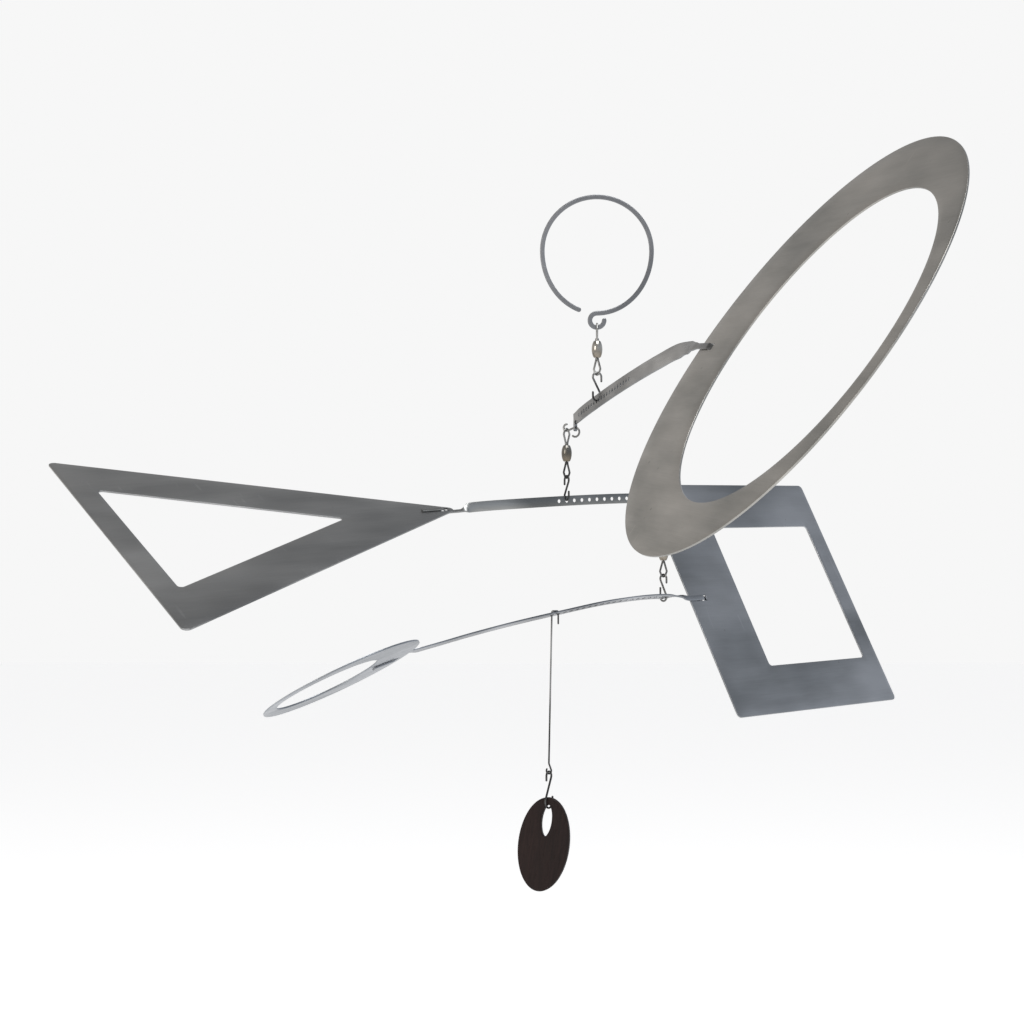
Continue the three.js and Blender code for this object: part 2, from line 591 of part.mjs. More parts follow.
// The oval hangs by its almond hole and leans a little in its own plane.
function woodenPendant() {
  const { width, height, thickness, tilt, holeWidth, holeHeight, holeTop } = PENDANT;
  const shape = new THREE.Shape(ovalPath(width, height, 0, 40));
  const holeCentre = height / 2 - holeTop - holeHeight / 2;
  shape.holes.push(new THREE.Path(ovalPath(holeWidth, holeHeight, holeCentre, 20)));
  return uprightPlate(shape, thickness).rotateY(radians(tilt));
}
const pendant = addMesh(lowerArmFrame, 'wooden_pendant', woodenPendant(), darkWood);
pendant.rotation.z = radians(PENDANT.turn);

// The pendant's hook bears on the top of the almond hole.
const hangPoint = new THREE.Vector3(0, 0, PENDANT.height / 2 - PENDANT.holeTop - WIRE_RADIUS - GAP - 1.5)
  .applyAxisAngle(new THREE.Vector3(0, 1, 0), radians(PENDANT.tilt))
  .applyAxisAngle(new THREE.Vector3(0, 0, 1), radians(PENDANT.turn));
const pendantHook = sHook(PENDULUM.eyeZ - PENDULUM.eyeRadius + inEye, PENDANT.centreZ + hangPoint.z,
  PENDANT.hookRadius, HOOK_TAIL);
addHook(lowerArmFrame, 'pendant_hook', pendantHook, pendantX, 0, PENDANT.hookTurn);
pendant.position.set(pendantX - hangPoint.x, -hangPoint.y, PENDANT.centreZ);

export default mobile;
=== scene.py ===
# %% [markdown]
# # A hanging mobile, dressed for a render
#
# The mobile is three perforated steel arms, hung one below the other on barrel swivels. Flat plates
# with cut-out holes balance each other on the arm ends: a round hoop, a triangle, a square and a small
# ring. A dark wooden oval hangs from the lowest arm on a wire.
#
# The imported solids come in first. They say where each piece is and what it moves with.

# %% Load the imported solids
import json
import math

import bmesh
import bpy
import numpy as np
from mathutils import Matrix


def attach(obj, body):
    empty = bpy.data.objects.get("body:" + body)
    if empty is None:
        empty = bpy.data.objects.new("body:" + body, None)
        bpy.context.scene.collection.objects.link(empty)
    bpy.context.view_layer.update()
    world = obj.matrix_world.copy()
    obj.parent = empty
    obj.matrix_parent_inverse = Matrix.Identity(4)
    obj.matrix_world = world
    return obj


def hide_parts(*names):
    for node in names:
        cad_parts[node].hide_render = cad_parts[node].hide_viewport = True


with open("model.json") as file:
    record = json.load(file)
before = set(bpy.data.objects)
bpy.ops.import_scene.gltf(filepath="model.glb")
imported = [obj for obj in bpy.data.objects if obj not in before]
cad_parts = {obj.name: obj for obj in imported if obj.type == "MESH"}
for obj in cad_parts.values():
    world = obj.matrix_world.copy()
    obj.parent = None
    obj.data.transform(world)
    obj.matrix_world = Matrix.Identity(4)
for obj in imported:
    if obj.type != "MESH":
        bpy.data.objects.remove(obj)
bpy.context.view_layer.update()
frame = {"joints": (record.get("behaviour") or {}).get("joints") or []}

# %% [markdown]
# ## Camera
#
# The view is level with the lower arms and almost straight on, so the flat plates show as slim shapes.
# A long lens from a metre and a half away keeps their outlines nearly free of perspective.

# %% Camera
camera_data = bpy.data.cameras.new("camera")
camera_data.lens = 70.3
camera_data.sensor_width = 36.0
camera = bpy.data.objects.new("camera", camera_data)
camera.location = (-0.0641, -1.5, -0.3022)
camera.rotation_euler = (math.radians(92.5), 0.0, 0.0)
bpy.context.collection.objects.link(camera)
bpy.context.scene.camera = camera
print("camera at", tuple(camera.location))

# %% [markdown]
# ## Skins over grids
#
# Every new piece is a grid of points worked out as one numpy array, in millimetres. `skin` lays
# four-cornered faces between neighbouring points. A rod or strip is closed at both ends by a fan of
# triangles. A plate with a hole is a loop, so its last row joins its first.

# %% Skin
def skin(name, grid, loop=False, tips=None):
    """Faces join point (r, c) to (r, c+1), (r+1, c+1) and (r+1, c); columns wrap round.
    Rows wrap too on a loop. Otherwise a fan joins each end row to its tip, or to its own middle."""
    rows, columns = grid.shape[:2]
    r = np.arange(rows if loop else rows - 1)[:, None]
    c = np.arange(columns)[None, :]
    c_next, r_next = (c + 1) % columns, (r + 1) % rows
    quads = np.stack([r * columns + c, r * columns + c_next,
                      r_next * columns + c_next, r_next * columns + c], axis=-1).reshape(-1, 4)
    points = grid.reshape(-1, 3)
    faces = quads.tolist()
    if not loop:
        ends = np.array(tips) if tips is not None else np.array([grid[0].mean(0), grid[-1].mean(0)])
        points = np.vstack([points, ends])
        ring = np.arange(columns)
        ring_next = (ring + 1) % columns
        first = np.stack([ring_next, ring, np.full(columns, rows * columns)], axis=-1)
        last_row = (rows - 1) * columns
        last_tip = np.full(columns, rows * columns + 1)
        last = np.stack([ring + last_row, ring_next + last_row, last_tip], axis=-1)
        faces += first.tolist() + last.tolist()
    mesh = bpy.data.meshes.new(name)
    mesh.from_pydata(points.tolist(), [], faces)
    piece = bpy.data.objects.new(name, mesh)
    bpy.context.collection.objects.link(piece)
    face_outwards(piece)
    return piece


def face_outwards(piece):
    """Turns every face of a closed surface so that its normal points out of the solid."""
    work = bmesh.new()
    work.from_mesh(piece.data)
    bmesh.ops.recalc_face_normals(work, faces=work.faces)
    work.to_mesh(piece.data)
    work.free()

# %% [markdown]
# ## Frames
#
# Each arm is drawn along its own x axis, with its hanging hole at x = 0, and is then turned to its
# heading and put under its swivel. The swivels' vertical lines come from the loaded joints. The lowest
# arm hangs beside its hook's shank, so it lies one hook radius off the swivel's line.

# %% Frames for the arms and plates
def turned(heading, x, y, z):
    """A four by four matrix: turn by heading degrees about z, then move to (x, y, z)."""
    return np.array(Matrix.Translation((x, y, z)) @ Matrix.Rotation(math.radians(heading), 4, "Z"))


def put(matrix, points):
    """Each point becomes matrix times point, for a whole array of points at once."""
    return points @ matrix[:3, :3].T + matrix[:3, 3]


joints = {joint["name"]: joint for joint in frame["joints"]}
swivel_lines = [np.array(joints[f"swivel_{n}_turn"]["pos_m"][:2]) * 1000 for n in (1, 2, 3)]
UPPER_HEADING, MIDDLE_HEADING, LOWER_HEADING = -76, 28, 44  # degrees from x
UPPER_Z, MIDDLE_Z, LOWER_Z = -153.5, -225.2, -300
HOOK_RADIUS = 3.3
upper = turned(UPPER_HEADING, *swivel_lines[0], UPPER_Z)
middle = turned(MIDDLE_HEADING, *swivel_lines[1], MIDDLE_Z)
lower = turned(LOWER_HEADING, *swivel_lines[2], LOWER_Z)
beside_hook = lower @ turned(0, 0, -HOOK_RADIUS, 0)
print("swivel lines in mm:", np.round(swivel_lines, 1).tolist())

# %% [markdown]
# ## Finishing a piece
#
# Shapes are worked out in millimetres and finished in metres. Cutting holes is left to Blender's exact
# Boolean, which gives each drilled hole a clean edge. Faces that meet at a gentle angle are shaded
# smooth, and sharper edges stay crisp.

# %% Cutting, joining and finishing
def combine(piece, other, operation):
    """Applies an exact Boolean of the two closed surfaces and removes the second one."""
    cut = piece.modifiers.new("combine", "BOOLEAN")
    cut.operation = operation
    cut.solver = "EXACT"
    cut.object = other
    view = bpy.context.evaluated_depsgraph_get()
    result = bpy.data.meshes.new_from_object(piece.evaluated_get(view))
    piece.modifiers.clear()
    piece.data = result
    bpy.data.objects.remove(other)
    return piece


def finish_piece(piece, node, body, material, sharp=35):
    """Scales millimetres to metres, sets smooth shading below the sharp angle, and puts the piece on its
    body.
    """
    piece.data.transform(Matrix.Scale(0.001, 4))
    piece.data.materials.clear()
    piece.data.materials.append(material)
    piece.data.shade_smooth()
    piece.data.set_sharp_from_angle(angle=math.radians(sharp))
    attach(piece, body)
    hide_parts(node)
    low, high = np.array(piece.bound_box).min(0), np.array(piece.bound_box).max(0)
    print(f"{piece.name}: {len(piece.data.polygons)} faces, {np.round((high - low) * 1000, 1).tolist()} mm")
    return piece

# %% [markdown]
# ## Finishes: what brushed steel shows
#
# The plates are sheet steel rubbed in one direction. Close up that is thousands of fine parallel lines.
# From further away it is a soft cloudiness, with faint smears where hands and a polishing cloth went.
# Both come from one node group that every steel piece uses with its own values.

# %% Helpers for node groups
def new_group(name, inputs, outputs):
    """An empty shader node group with float or vector inputs and float outputs."""
    group = bpy.data.node_groups.new(name, "ShaderNodeTree")
    for label, kind, value in inputs:
        socket = group.interface.new_socket(label, in_out="INPUT", socket_type=kind)
        if value is not None:
            socket.default_value = value
    for label in outputs:
        group.interface.new_socket(label, in_out="OUTPUT", socket_type="NodeSocketFloat")
    return group, group.nodes.new("NodeGroupInput"), group.nodes.new("NodeGroupOutput")


def noise(tree, vector, scale, stretch, detail=2.0, roughness=0.5):
    """Noise read at vector times stretch, so that a small stretch makes long streaks."""
    spread = tree.nodes.new("ShaderNodeVectorMath")
    spread.operation = "MULTIPLY"
    spread.inputs[1].default_value = stretch
    tree.links.new(vector, spread.inputs[0])
    node = tree.nodes.new("ShaderNodeTexNoise")
    node.inputs["Scale"].default_value = scale
    node.inputs["Detail"].default_value = detail
    node.inputs["Roughness"].default_value = roughness
    tree.links.new(spread.outputs[0], node.inputs["Vector"])
    return node.outputs["Fac"]


def spread_to(tree, value, low, high, start=0.3, stop=0.7):
    """Maps value from start..stop to low..high and holds it there outside."""
    node = tree.nodes.new("ShaderNodeMapRange")
    for socket, number in zip(("From Min", "From Max", "To Min", "To Max"), (start, stop, low, high)):
        node.inputs[socket].default_value = number
    tree.links.new(value, node.inputs["Value"])
    return node.outputs["Result"]


def compute(tree, operation, first, second):
    """One arithmetic step on two sockets, or on a socket and a number."""
    node = tree.nodes.new("ShaderNodeMath")
    node.operation = operation
    for index, source in enumerate((first, second)):
        if isinstance(source, (int, float)):
            node.inputs[index].default_value = source
        else:
            tree.links.new(source, node.inputs[index])
    return node.outputs[0]

# %% Brushed steel: lines, clouds and smears
brushing, source, result = new_group(
    "brushing",
    [("Vector", "NodeSocketVector", None), ("Clouds", "NodeSocketFloat", 1.0)],
    ["Lines", "Shade", "Gloss"],
)
place = source.outputs["Vector"]
fine_lines = noise(brushing, place, 1.0, (25, 2600, 2600), detail=3)
broad_lines = noise(brushing, place, 1.0, (9, 420, 420), detail=2)
clouds = noise(brushing, place, 1.0, (9, 16, 16), detail=2, roughness=0.55)
smears = noise(brushing, place, 1.0, (16, 75, 75), detail=3, roughness=0.6)
lines = compute(brushing, "ADD", fine_lines, compute(brushing, "MULTIPLY", broad_lines, 0.6))
cloudy = compute(brushing, "MULTIPLY", compute(brushing, "SUBTRACT", clouds, 0.5),
                 source.outputs["Clouds"])
smeary = compute(brushing, "MULTIPLY", compute(brushing, "SUBTRACT", smears, 0.5), 0.35)
streaky = compute(brushing, "MULTIPLY", compute(brushing, "SUBTRACT", fine_lines, 0.5), 0.2)
shade = compute(brushing, "ADD", compute(brushing, "ADD", cloudy, smeary), streaky)
brushing.links.new(lines, result.inputs["Lines"])
brushing.links.new(compute(brushing, "ADD", shade, 0.5), result.inputs["Shade"])
brushing.links.new(spread_to(brushing, smears, 0.0, 1.0), result.inputs["Gloss"])
print("brushing group:", len(brushing.nodes), "nodes")

# %% [markdown]
# A second group adds what years of hanging do: a few short scratches across the brushing, and small
# dull specks of dust and fingerprints.

# %% Scratches and specks
handling, source, result = new_group(
    "handling", [("Vector", "NodeSocketVector", None)], ["Scratches", "Specks"])
place = source.outputs["Vector"]
scratch_field = noise(handling, place, 1.0, (230, 23, 60), detail=1)
scratch_patch = noise(handling, place, 1.0, (14, 14, 14), detail=1)
scratch = compute(handling, "MULTIPLY", spread_to(handling, scratch_field, 0, 1, 0.70, 0.74),
                  spread_to(handling, scratch_patch, 0, 1, 0.5, 0.6))
specks = handling.nodes.new("ShaderNodeTexVoronoi")
specks.inputs["Scale"].default_value = 55
handling.links.new(place, specks.inputs["Vector"])
speck = spread_to(handling, specks.outputs["Distance"], 1, 0, 0.03, 0.07)
handling.links.new(scratch, result.inputs["Scratches"])
handling.links.new(speck, result.inputs["Specks"])
print("handling group:", len(handling.nodes), "nodes")

# %% [markdown]
# The steel material turns the piece's own coordinates so that x runs along the brushing. Two colours,
# the darker and the lighter side of the cloudiness, set each piece's tone. Fine lines go to the bump.

# %% Steel material
def steel(name, dark, light, along=None, roughness=0.34, clouds=1.0, line_height=0.00002):
    """Metal whose colour runs from dark to light with the shade, rougher where the gloss mask is low."""
    material = bpy.data.materials.new(name)
    material.use_nodes = True
    tree = material.node_tree
    shader = tree.nodes["Principled BSDF"]
    shader.inputs["Metallic"].default_value = 1.0
    coordinates = tree.nodes.new("ShaderNodeTexCoord")
    turn = tree.nodes.new("ShaderNodeMapping")
    if along is not None:
        turn.inputs["Rotation"].default_value = Matrix(along[:3, :3]).inverted().to_euler()
    tree.links.new(coordinates.outputs["Object"], turn.inputs["Vector"])
    finish = tree.nodes.new("ShaderNodeGroup")
    finish.node_tree = brushing
    finish.inputs["Clouds"].default_value = clouds
    wear = tree.nodes.new("ShaderNodeGroup")
    wear.node_tree = handling
    for node in (finish, wear):
        tree.links.new(turn.outputs["Vector"], node.inputs["Vector"])
    tone = tree.nodes.new("ShaderNodeValToRGB")
    tone.color_ramp.elements[0].position = 0.25
    tone.color_ramp.elements[0].color = (*dark, 1)
    tone.color_ramp.elements[1].position = 0.75
    tone.color_ramp.elements[1].color = (*light, 1)
    scratched = compute(tree, "MULTIPLY", wear.outputs["Scratches"], 0.12)
    tone_share = compute(tree, "ADD", finish.outputs["Shade"], scratched)
    tone_share = compute(tree, "SUBTRACT", tone_share, compute(tree, "MULTIPLY", wear.outputs["Specks"], 0.15))
    tree.links.new(tone_share, tone.inputs["Fac"])
    tree.links.new(tone.outputs["Color"], shader.inputs["Base Color"])
    gloss = spread_to(tree, finish.outputs["Gloss"], roughness + 0.05, roughness - 0.05, 0, 1)
    tree.links.new(compute(tree, "ADD", gloss, compute(tree, "MULTIPLY", wear.outputs["Specks"], 0.2)),
                   shader.inputs["Roughness"])
    bump = tree.nodes.new("ShaderNodeBump")
    bump.inputs["Strength"].default_value = 0.5
    bump.inputs["Distance"].default_value = line_height
    tree.links.new(finish.outputs["Lines"], bump.inputs["Height"])
    tree.links.new(bump.outputs["Normal"], shader.inputs["Normal"])
    return material


wire_steel = steel("wire_steel", (0.07, 0.07, 0.07), (0.40, 0.40, 0.39), roughness=0.24, clouds=2.5,
                   line_height=0.000004)
ring_steel = steel("ring_steel", (0.16, 0.166, 0.178), (0.30, 0.306, 0.32), roughness=0.36, clouds=1.5,
                   line_height=0.000004)
print("steels:", wire_steel.name, ring_steel.name)

# %% [markdown]
# ## Bars, wires and strips carried along a path
#
# A wire is a circle carried along its centre line. A flat bar is a rounded oblong carried the same way.
# At every point of the path the outline is drawn on two directions: across, and the path's own
# sideways direction. Near the ends it shrinks on a quarter circle, which rounds the ends off.

# %% Carry an outline along a path
def circle_outline(radius, sides=20):
    """Points at equal angles: radius times cosine and sine."""
    angle = np.linspace(0, 2 * np.pi, sides, endpoint=False)
    return radius * np.stack([np.cos(angle), np.sin(angle)], axis=-1)


def oblong_outline(width, height, corner, steps=4):
    """A quarter circle of the corner radius at each corner of an oblong, anticlockwise."""
    quarter = np.linspace(0, np.pi / 2, steps)
    angle = (quarter[None, :] + np.arange(4)[:, None] * np.pi / 2)
    signs = np.array([(1, 1), (-1, 1), (-1, -1), (1, -1)])[:, None, :]
    centre = signs * np.array([width / 2 - corner, height / 2 - corner])
    return (centre + corner * np.stack([np.cos(angle), np.sin(angle)], axis=-1)).reshape(-1, 2)


def along_path(path, spacing, cap):
    """Distances from 0 to the path's length: close together on both caps, even between them."""
    length = np.linalg.norm(np.diff(path, axis=0), axis=1).sum()
    rounding = cap * (1 - np.cos(np.radians([12, 30, 50, 70])))
    middle_count = max(2, int((length - 2 * cap) / spacing) + 1)
    even = np.linspace(cap, length - cap, middle_count)
    return np.concatenate([rounding, even, (length - rounding)[::-1]]) if cap else even


def carry(name, path, sideways, outline, spacing=0.5, cap=0.0, flat_cap=False):
    """Grid point (i, j) is centre i plus outline j's first number times across i plus its second times
    sideways i. Across is the path's direction crossed with sideways."""
    steps = np.concatenate([[0], np.cumsum(np.linalg.norm(np.diff(path, axis=0), axis=1))])
    at = along_path(path, spacing, cap)
    centre = np.stack([np.interp(at, steps, path[:, k]) for k in range(3)], axis=-1)
    side = np.broadcast_to(sideways, path.shape)
    side = np.stack([np.interp(at, steps, side[:, k]) for k in range(3)], axis=-1)
    direction = np.gradient(centre, axis=0)
    direction /= np.linalg.norm(direction, axis=1, keepdims=True)
    side = side - (side * direction).sum(1, keepdims=True) * direction
    side /= np.linalg.norm(side, axis=1, keepdims=True)
    across = np.cross(direction, side)
    depth = np.minimum(at, steps[-1] - at)
    size = np.sqrt(np.clip(1 - (1 - np.clip(depth / cap, 0, 1)) ** 2, 0, 1)) if cap else np.ones(len(at))
    side_size = np.ones(len(at)) if flat_cap else size
    grid = (centre[:, None] + across[:, None] * (outline[:, 0] * size[:, None])[..., None]
            + side[:, None] * (outline[:, 1] * side_size[:, None])[..., None])
    return skin(name, grid, tips=None if flat_cap else [path[0], path[-1]] if cap else None)

# %% [markdown]
# The hooks and the ring's curl are bent from arcs joined by straight lines. An S is a turn round one
# circle, a straight line that leaves it exactly where it can also touch the second circle, and a turn
# the other way round that one.

# %% Arcs and S bends in an upright plane
def arc(x, z, radius, start, stop, step=6):
    """Points (x + radius cosine, 0, z + radius sine) with the angle going from start to stop."""
    angle = np.radians(np.linspace(start, stop, max(3, int(abs(stop - start) / step) + 1)))
    return np.stack([x + radius * np.cos(angle), 0 * angle, z + radius * np.sin(angle)], axis=-1)


def s_path(first, second, start, stop):
    """Anticlockwise round the first circle (x, z, radius), then clockwise round the second."""
    dx, dz = second[0] - first[0], second[1] - first[1]
    lean = math.degrees(math.acos((first[2] + second[2]) / math.hypot(dx, dz)))
    leave = (math.degrees(math.atan2(dz, dx)) - lean) % 360
    return np.vstack([arc(*first, start, leave), arc(*second, leave - 180, stop)])


HOOK_TAIL = 4.0


def s_hook_path(top, bottom, lower_radius=HOOK_RADIUS, lower_tail=HOOK_TAIL):
    """An S with a straight tail at each end, from its top down to its bottom, open on both sides."""
    upper_circle = (0, top - HOOK_RADIUS, HOOK_RADIUS)
    bends = s_path(upper_circle, (0, bottom + lower_radius, lower_radius), 0, -180)
    return np.vstack([bends[:1] - (0, 0, HOOK_TAIL), bends, bends[-1:] + (0, 0, lower_tail)])


WIRE = 0.7  # radius of the wire that the paths leave room for
SHOWN_WIRE = 0.78  # drawn a little fuller, within that room
round_wire = circle_outline(SHOWN_WIRE)


def bend_wire(name, matrix, path):
    """A round wire whose path lies in the upright plane y = 0 of the matrix's frame."""
    return carry(name, put(matrix, path), matrix[:3, 1], round_wire, spacing=0.4, cap=WIRE)

# %% [markdown]
# ## Hanging ring
#
# The ring is a flat bar bent into a C. Its lower half droops a little below a true circle and runs on
# into a small open curl, which holds the first swivel. The bar is 3.5 mm wide and 1.5 mm thick and its
# ends are rounded off.

# %% Hanging ring
RING_RADIUS, RING_BAR, RING_THICKNESS = 43, 3.5, 1.5
DROOP = 0.144  # how much deeper than a circle the lower half is
CURL_RADIUS = 5.4
ring_centre = RING_BAR - RING_RADIUS
ring_round = arc(0, ring_centre, RING_RADIUS - RING_BAR / 2, 253, -90, step=3)
ring_round[:, 2] += np.minimum(ring_round[:, 2] - ring_centre, 0) * DROOP
curl = arc(0, ring_round[-1, 2] - CURL_RADIUS, CURL_RADIUS, 90, 378)
ring_line = np.vstack([ring_round[:-1], curl])
hanging_ring = carry("split_hanging_ring", ring_line, (0, 1, 0),
                     oblong_outline(RING_BAR, RING_THICKNESS, 0.45),
                     spacing=1.2, cap=RING_BAR / 2, flat_cap=True)
finish_piece(hanging_ring, "hanging_ring", "hanger", ring_steel)

# %% [markdown]
# ## Plates
#
# A plate with a hole is a ring-shaped band. Its section is a thin oblong with broken edges, and it
# goes once round: one side of the section follows the outer outline and the other follows the hole.
# So the plate needs no cutting, apart from the slot that the arm's tongue goes through.

# %% Outlines of circles and rounded corners
def circle_line(x, radius, count):
    """Centre x on the arm's line plus radius times cosine and sine."""
    return circle_outline(radius, count) + (x, 0)


def rounded_line(corners, radius, turns=8, runs=12):
    """A short arc inside each corner, and even points on the straight runs between the arcs."""
    before = np.roll(corners, 1, axis=0) - corners
    after = np.roll(corners, -1, axis=0) - corners
    before /= np.linalg.norm(before, axis=1, keepdims=True)
    after /= np.linalg.norm(after, axis=1, keepdims=True)
    half = np.arccos((before * after).sum(1)) / 2
    middle = (before + after) / np.linalg.norm(before + after, axis=1, keepdims=True)
    centre = corners + middle * (radius / np.sin(half))[:, None]
    start = corners + before * (radius / np.tan(half))[:, None] - centre
    angle = np.linspace(0, 1, turns + 1)[None, :] * (np.pi - 2 * half)[:, None]
    cosine, sine = np.cos(angle), np.sin(angle)
    bends = centre[:, None] + np.stack([start[:, :1] * cosine - start[:, 1:] * sine,
                                        start[:, :1] * sine + start[:, 1:] * cosine], axis=-1)
    share = np.linspace(0, 1, runs + 2)[1:-1][None, :, None]
    straight = bends[:, -1:] + (np.roll(bends, -1, axis=0)[:, :1] - bends[:, -1:]) * share
    return np.concatenate([bends, straight], axis=1).reshape(-1, 2)


def regular_corners(count, x, reach, first):
    """The corners of a regular polygon about x, at the given reach, from the first angle on."""
    angle = np.radians(first + 360 / count * np.arange(count))
    return np.stack([x + reach * np.cos(angle), reach * np.sin(angle)], axis=-1)

# %% Band between an outer outline and a hole
def band(outer, hole, thickness, edge, crown=0.0, steps=4):
    """Each section point has a share of the way from the outer outline to the hole, a set-in distance
    and a height. The edges follow a quarter ellipse, and the crown lifts the middle of both faces."""
    angle = np.linspace(0, np.pi / 2, steps)
    reach, rise = edge * (1 - np.cos(angle)), thickness / 2 - edge * 0.8 * (1 - np.sin(angle))
    inner_shares = np.array([0.2, 0.4, 0.6, 0.8])
    lift = crown * np.sin(np.pi * inner_shares)
    share = np.concatenate([0 * reach, inner_shares, 1 + 0 * reach])
    inset = np.concatenate([reach, 0 * inner_shares, -reach[::-1]])
    height = np.concatenate([rise, thickness / 2 + lift, rise[::-1]])
    share, inset = np.concatenate([share, share[::-1]]), np.concatenate([inset, inset[::-1]])
    height = np.concatenate([height, -height[::-1]])
    way = hole - outer
    unit = way / np.linalg.norm(way, axis=1, keepdims=True)
    flat = outer[:, None] + way[:, None] * share[None, :, None] + unit[:, None] * inset[None, :, None]
    return np.concatenate([flat, np.broadcast_to(height[None, :, None], (*flat.shape[:2], 1))], axis=-1)


def box_piece(name, x, size):
    """A plain block round (x, 0, 0), used only to cut a slot."""
    outline = oblong_outline(size[1], size[2], 0.05, 2)
    ends = np.array([x - size[0] / 2, x + size[0] / 2])
    grid = np.stack([np.broadcast_to(ends[:, None], (2, len(outline))),
                     np.broadcast_to(outline[:, 0], (2, len(outline))),
                     np.broadcast_to(outline[:, 1], (2, len(outline)))], axis=-1)
    return skin(name, grid)


def plate_frame(arm, edge, side, pitch, roll):
    """Outwards along the arm's line, pitched up or down, then rolled about that line."""
    pitch, roll = math.radians(pitch), math.radians(roll)
    outwards = np.array([side * math.cos(pitch), 0, math.sin(pitch)])
    up = np.array([-side * math.sin(pitch), 0, math.cos(pitch)])
    across = np.array([0, math.cos(roll), 0]) + up * math.sin(roll)
    matrix = np.eye(4)
    matrix[:3, :3] = np.stack([outwards, across, np.cross(outwards, across)], axis=-1)
    matrix[:3, 3] = (edge[0], 0, edge[1])
    return arm @ matrix


SHEET = 1.2
GAP = 0.3  # between pieces that touch


def cut_plate(name, matrix, outer, hole, slot_at, slot_size=(6.6, 5.2, 6)):
    """The band, less the tongue's slot, moved to its place on the arm."""
    plate = skin(name, band(outer, hole, SHEET, 0.22), loop=True)
    combine(plate, box_piece("slot", slot_at, slot_size), "DIFFERENCE")
    plate.data.transform(Matrix(matrix))
    return plate

# %% [markdown]
# The hoop is the largest plate, 290 mm across. Its hole sits off centre, so the band is narrow on the
# far side. The steel reads a little warm, with soft clouds from the polishing.

# %% Round hoop
hoop_place = plate_frame(upper, (236.5, 11.8), 1, -6.4, 56.2)
hoop_steel = steel("hoop_steel", (0.27, 0.272, 0.26), (0.56, 0.54, 0.51), hoop_place,
                   roughness=0.36, clouds=0.9)
hoop = cut_plate("round_hoop", hoop_place, circle_line(145, 145, 240),
                 circle_line(145 + 24.5, 107, 240), 18)
finish_piece(hoop, "hoop_plate", "upper", hoop_steel)

# %% Triangle, square and small ring
triangle_place = plate_frame(middle, (-95.5, -8.6), -1, -5.7, 23.5)
triangle_steel = steel("triangle_steel", (0.21, 0.215, 0.22), (0.47, 0.475, 0.475), triangle_place,
                       roughness=0.38, clouds=0.9)
reach = 314 / math.sqrt(3)
triangle = cut_plate("cut_out_triangle", triangle_place,
                     rounded_line(regular_corners(3, reach, reach, -180), 4),
                     rounded_line(regular_corners(3, reach + 18, 185 / math.sqrt(3), -180), 3), 11)
finish_piece(triangle, "triangle_plate", "middle", triangle_steel)

square_place = plate_frame(beside_hook, (27.5, -1.8), 1, 2, 62.9)
square_steel = steel("square_steel", (0.26, 0.27, 0.28), (0.50, 0.51, 0.53), square_place,
                     roughness=0.36, clouds=1.2)
square = cut_plate("cut_out_square", square_place,
                   rounded_line(regular_corners(4, 106, 106 * math.sqrt(2), -135), 4),
                   rounded_line(regular_corners(4, 106 + 22.7, 64.5 * math.sqrt(2), -135), 3), 18)
finish_piece(square, "square_plate", "lower", square_steel)

small_ring_place = plate_frame(beside_hook, (-277, -41.4), -1, -14.8, -22.6)
small_ring_steel = steel("small_ring_steel", (0.27, 0.29, 0.315), (0.50, 0.52, 0.55), small_ring_place,
                         roughness=0.34, clouds=1.5)
small_ring = cut_plate("small_cut_out_ring", small_ring_place, circle_line(58.5, 58.5, 160),
                       circle_line(58.5 + 13.5, 37.5, 160), 10)
finish_piece(small_ring, "small_ring_plate", "lower", small_ring_steel)

# %% [markdown]
# ## Arms
#
# Each arm is a strip of sheet steel, drilled with a row of 3 mm holes so that the balance point can be
# moved. It arches a little, twists near its end, narrows into a tongue, and the tongue goes over the
# plate, through the slot and out under it.
#
# A table names some sections along the strip: the place on the arch (x, z), the width, the roll (90
# stands on edge, 0 lies flat) and the lift off the line along the strip's own face. Between sections
# the arch is a smooth curve, and width, roll and lift ease from one value to the next.

# %% Strip stations
def ease(table, at):
    """Between two rows the value moves by 3 t squared minus 2 t cubed, so it starts and stops gently."""
    row = np.clip(at.astype(int), 0, len(table) - 2)
    t = (at - row)[:, None]
    t = t * t * (3 - 2 * t)
    return table[row] * (1 - t) + table[row + 1] * t


def smooth_line(points, at):
    """A curve through the points, evened out by their spacing: each stretch is a cubic whose end slopes
    are those of the parabola through three neighbours."""
    knots = np.concatenate([[0], np.cumsum(np.linalg.norm(np.diff(points, axis=0), axis=1))])
    row = np.clip(at.astype(int), 0, len(points) - 2)
    t = (at - row)[:, None]
    slope = np.gradient(points, knots, axis=0)
    span = (knots[row + 1] - knots[row])[:, None]
    a, b = points[row], points[row + 1]
    bend = (t ** 3 - 2 * t ** 2 + t) * span * slope[row] + (t ** 3 - t ** 2) * span * slope[row + 1]
    return a * (2 * t ** 3 - 3 * t ** 2 + 1) + b * (3 * t ** 2 - 2 * t ** 3) + bend


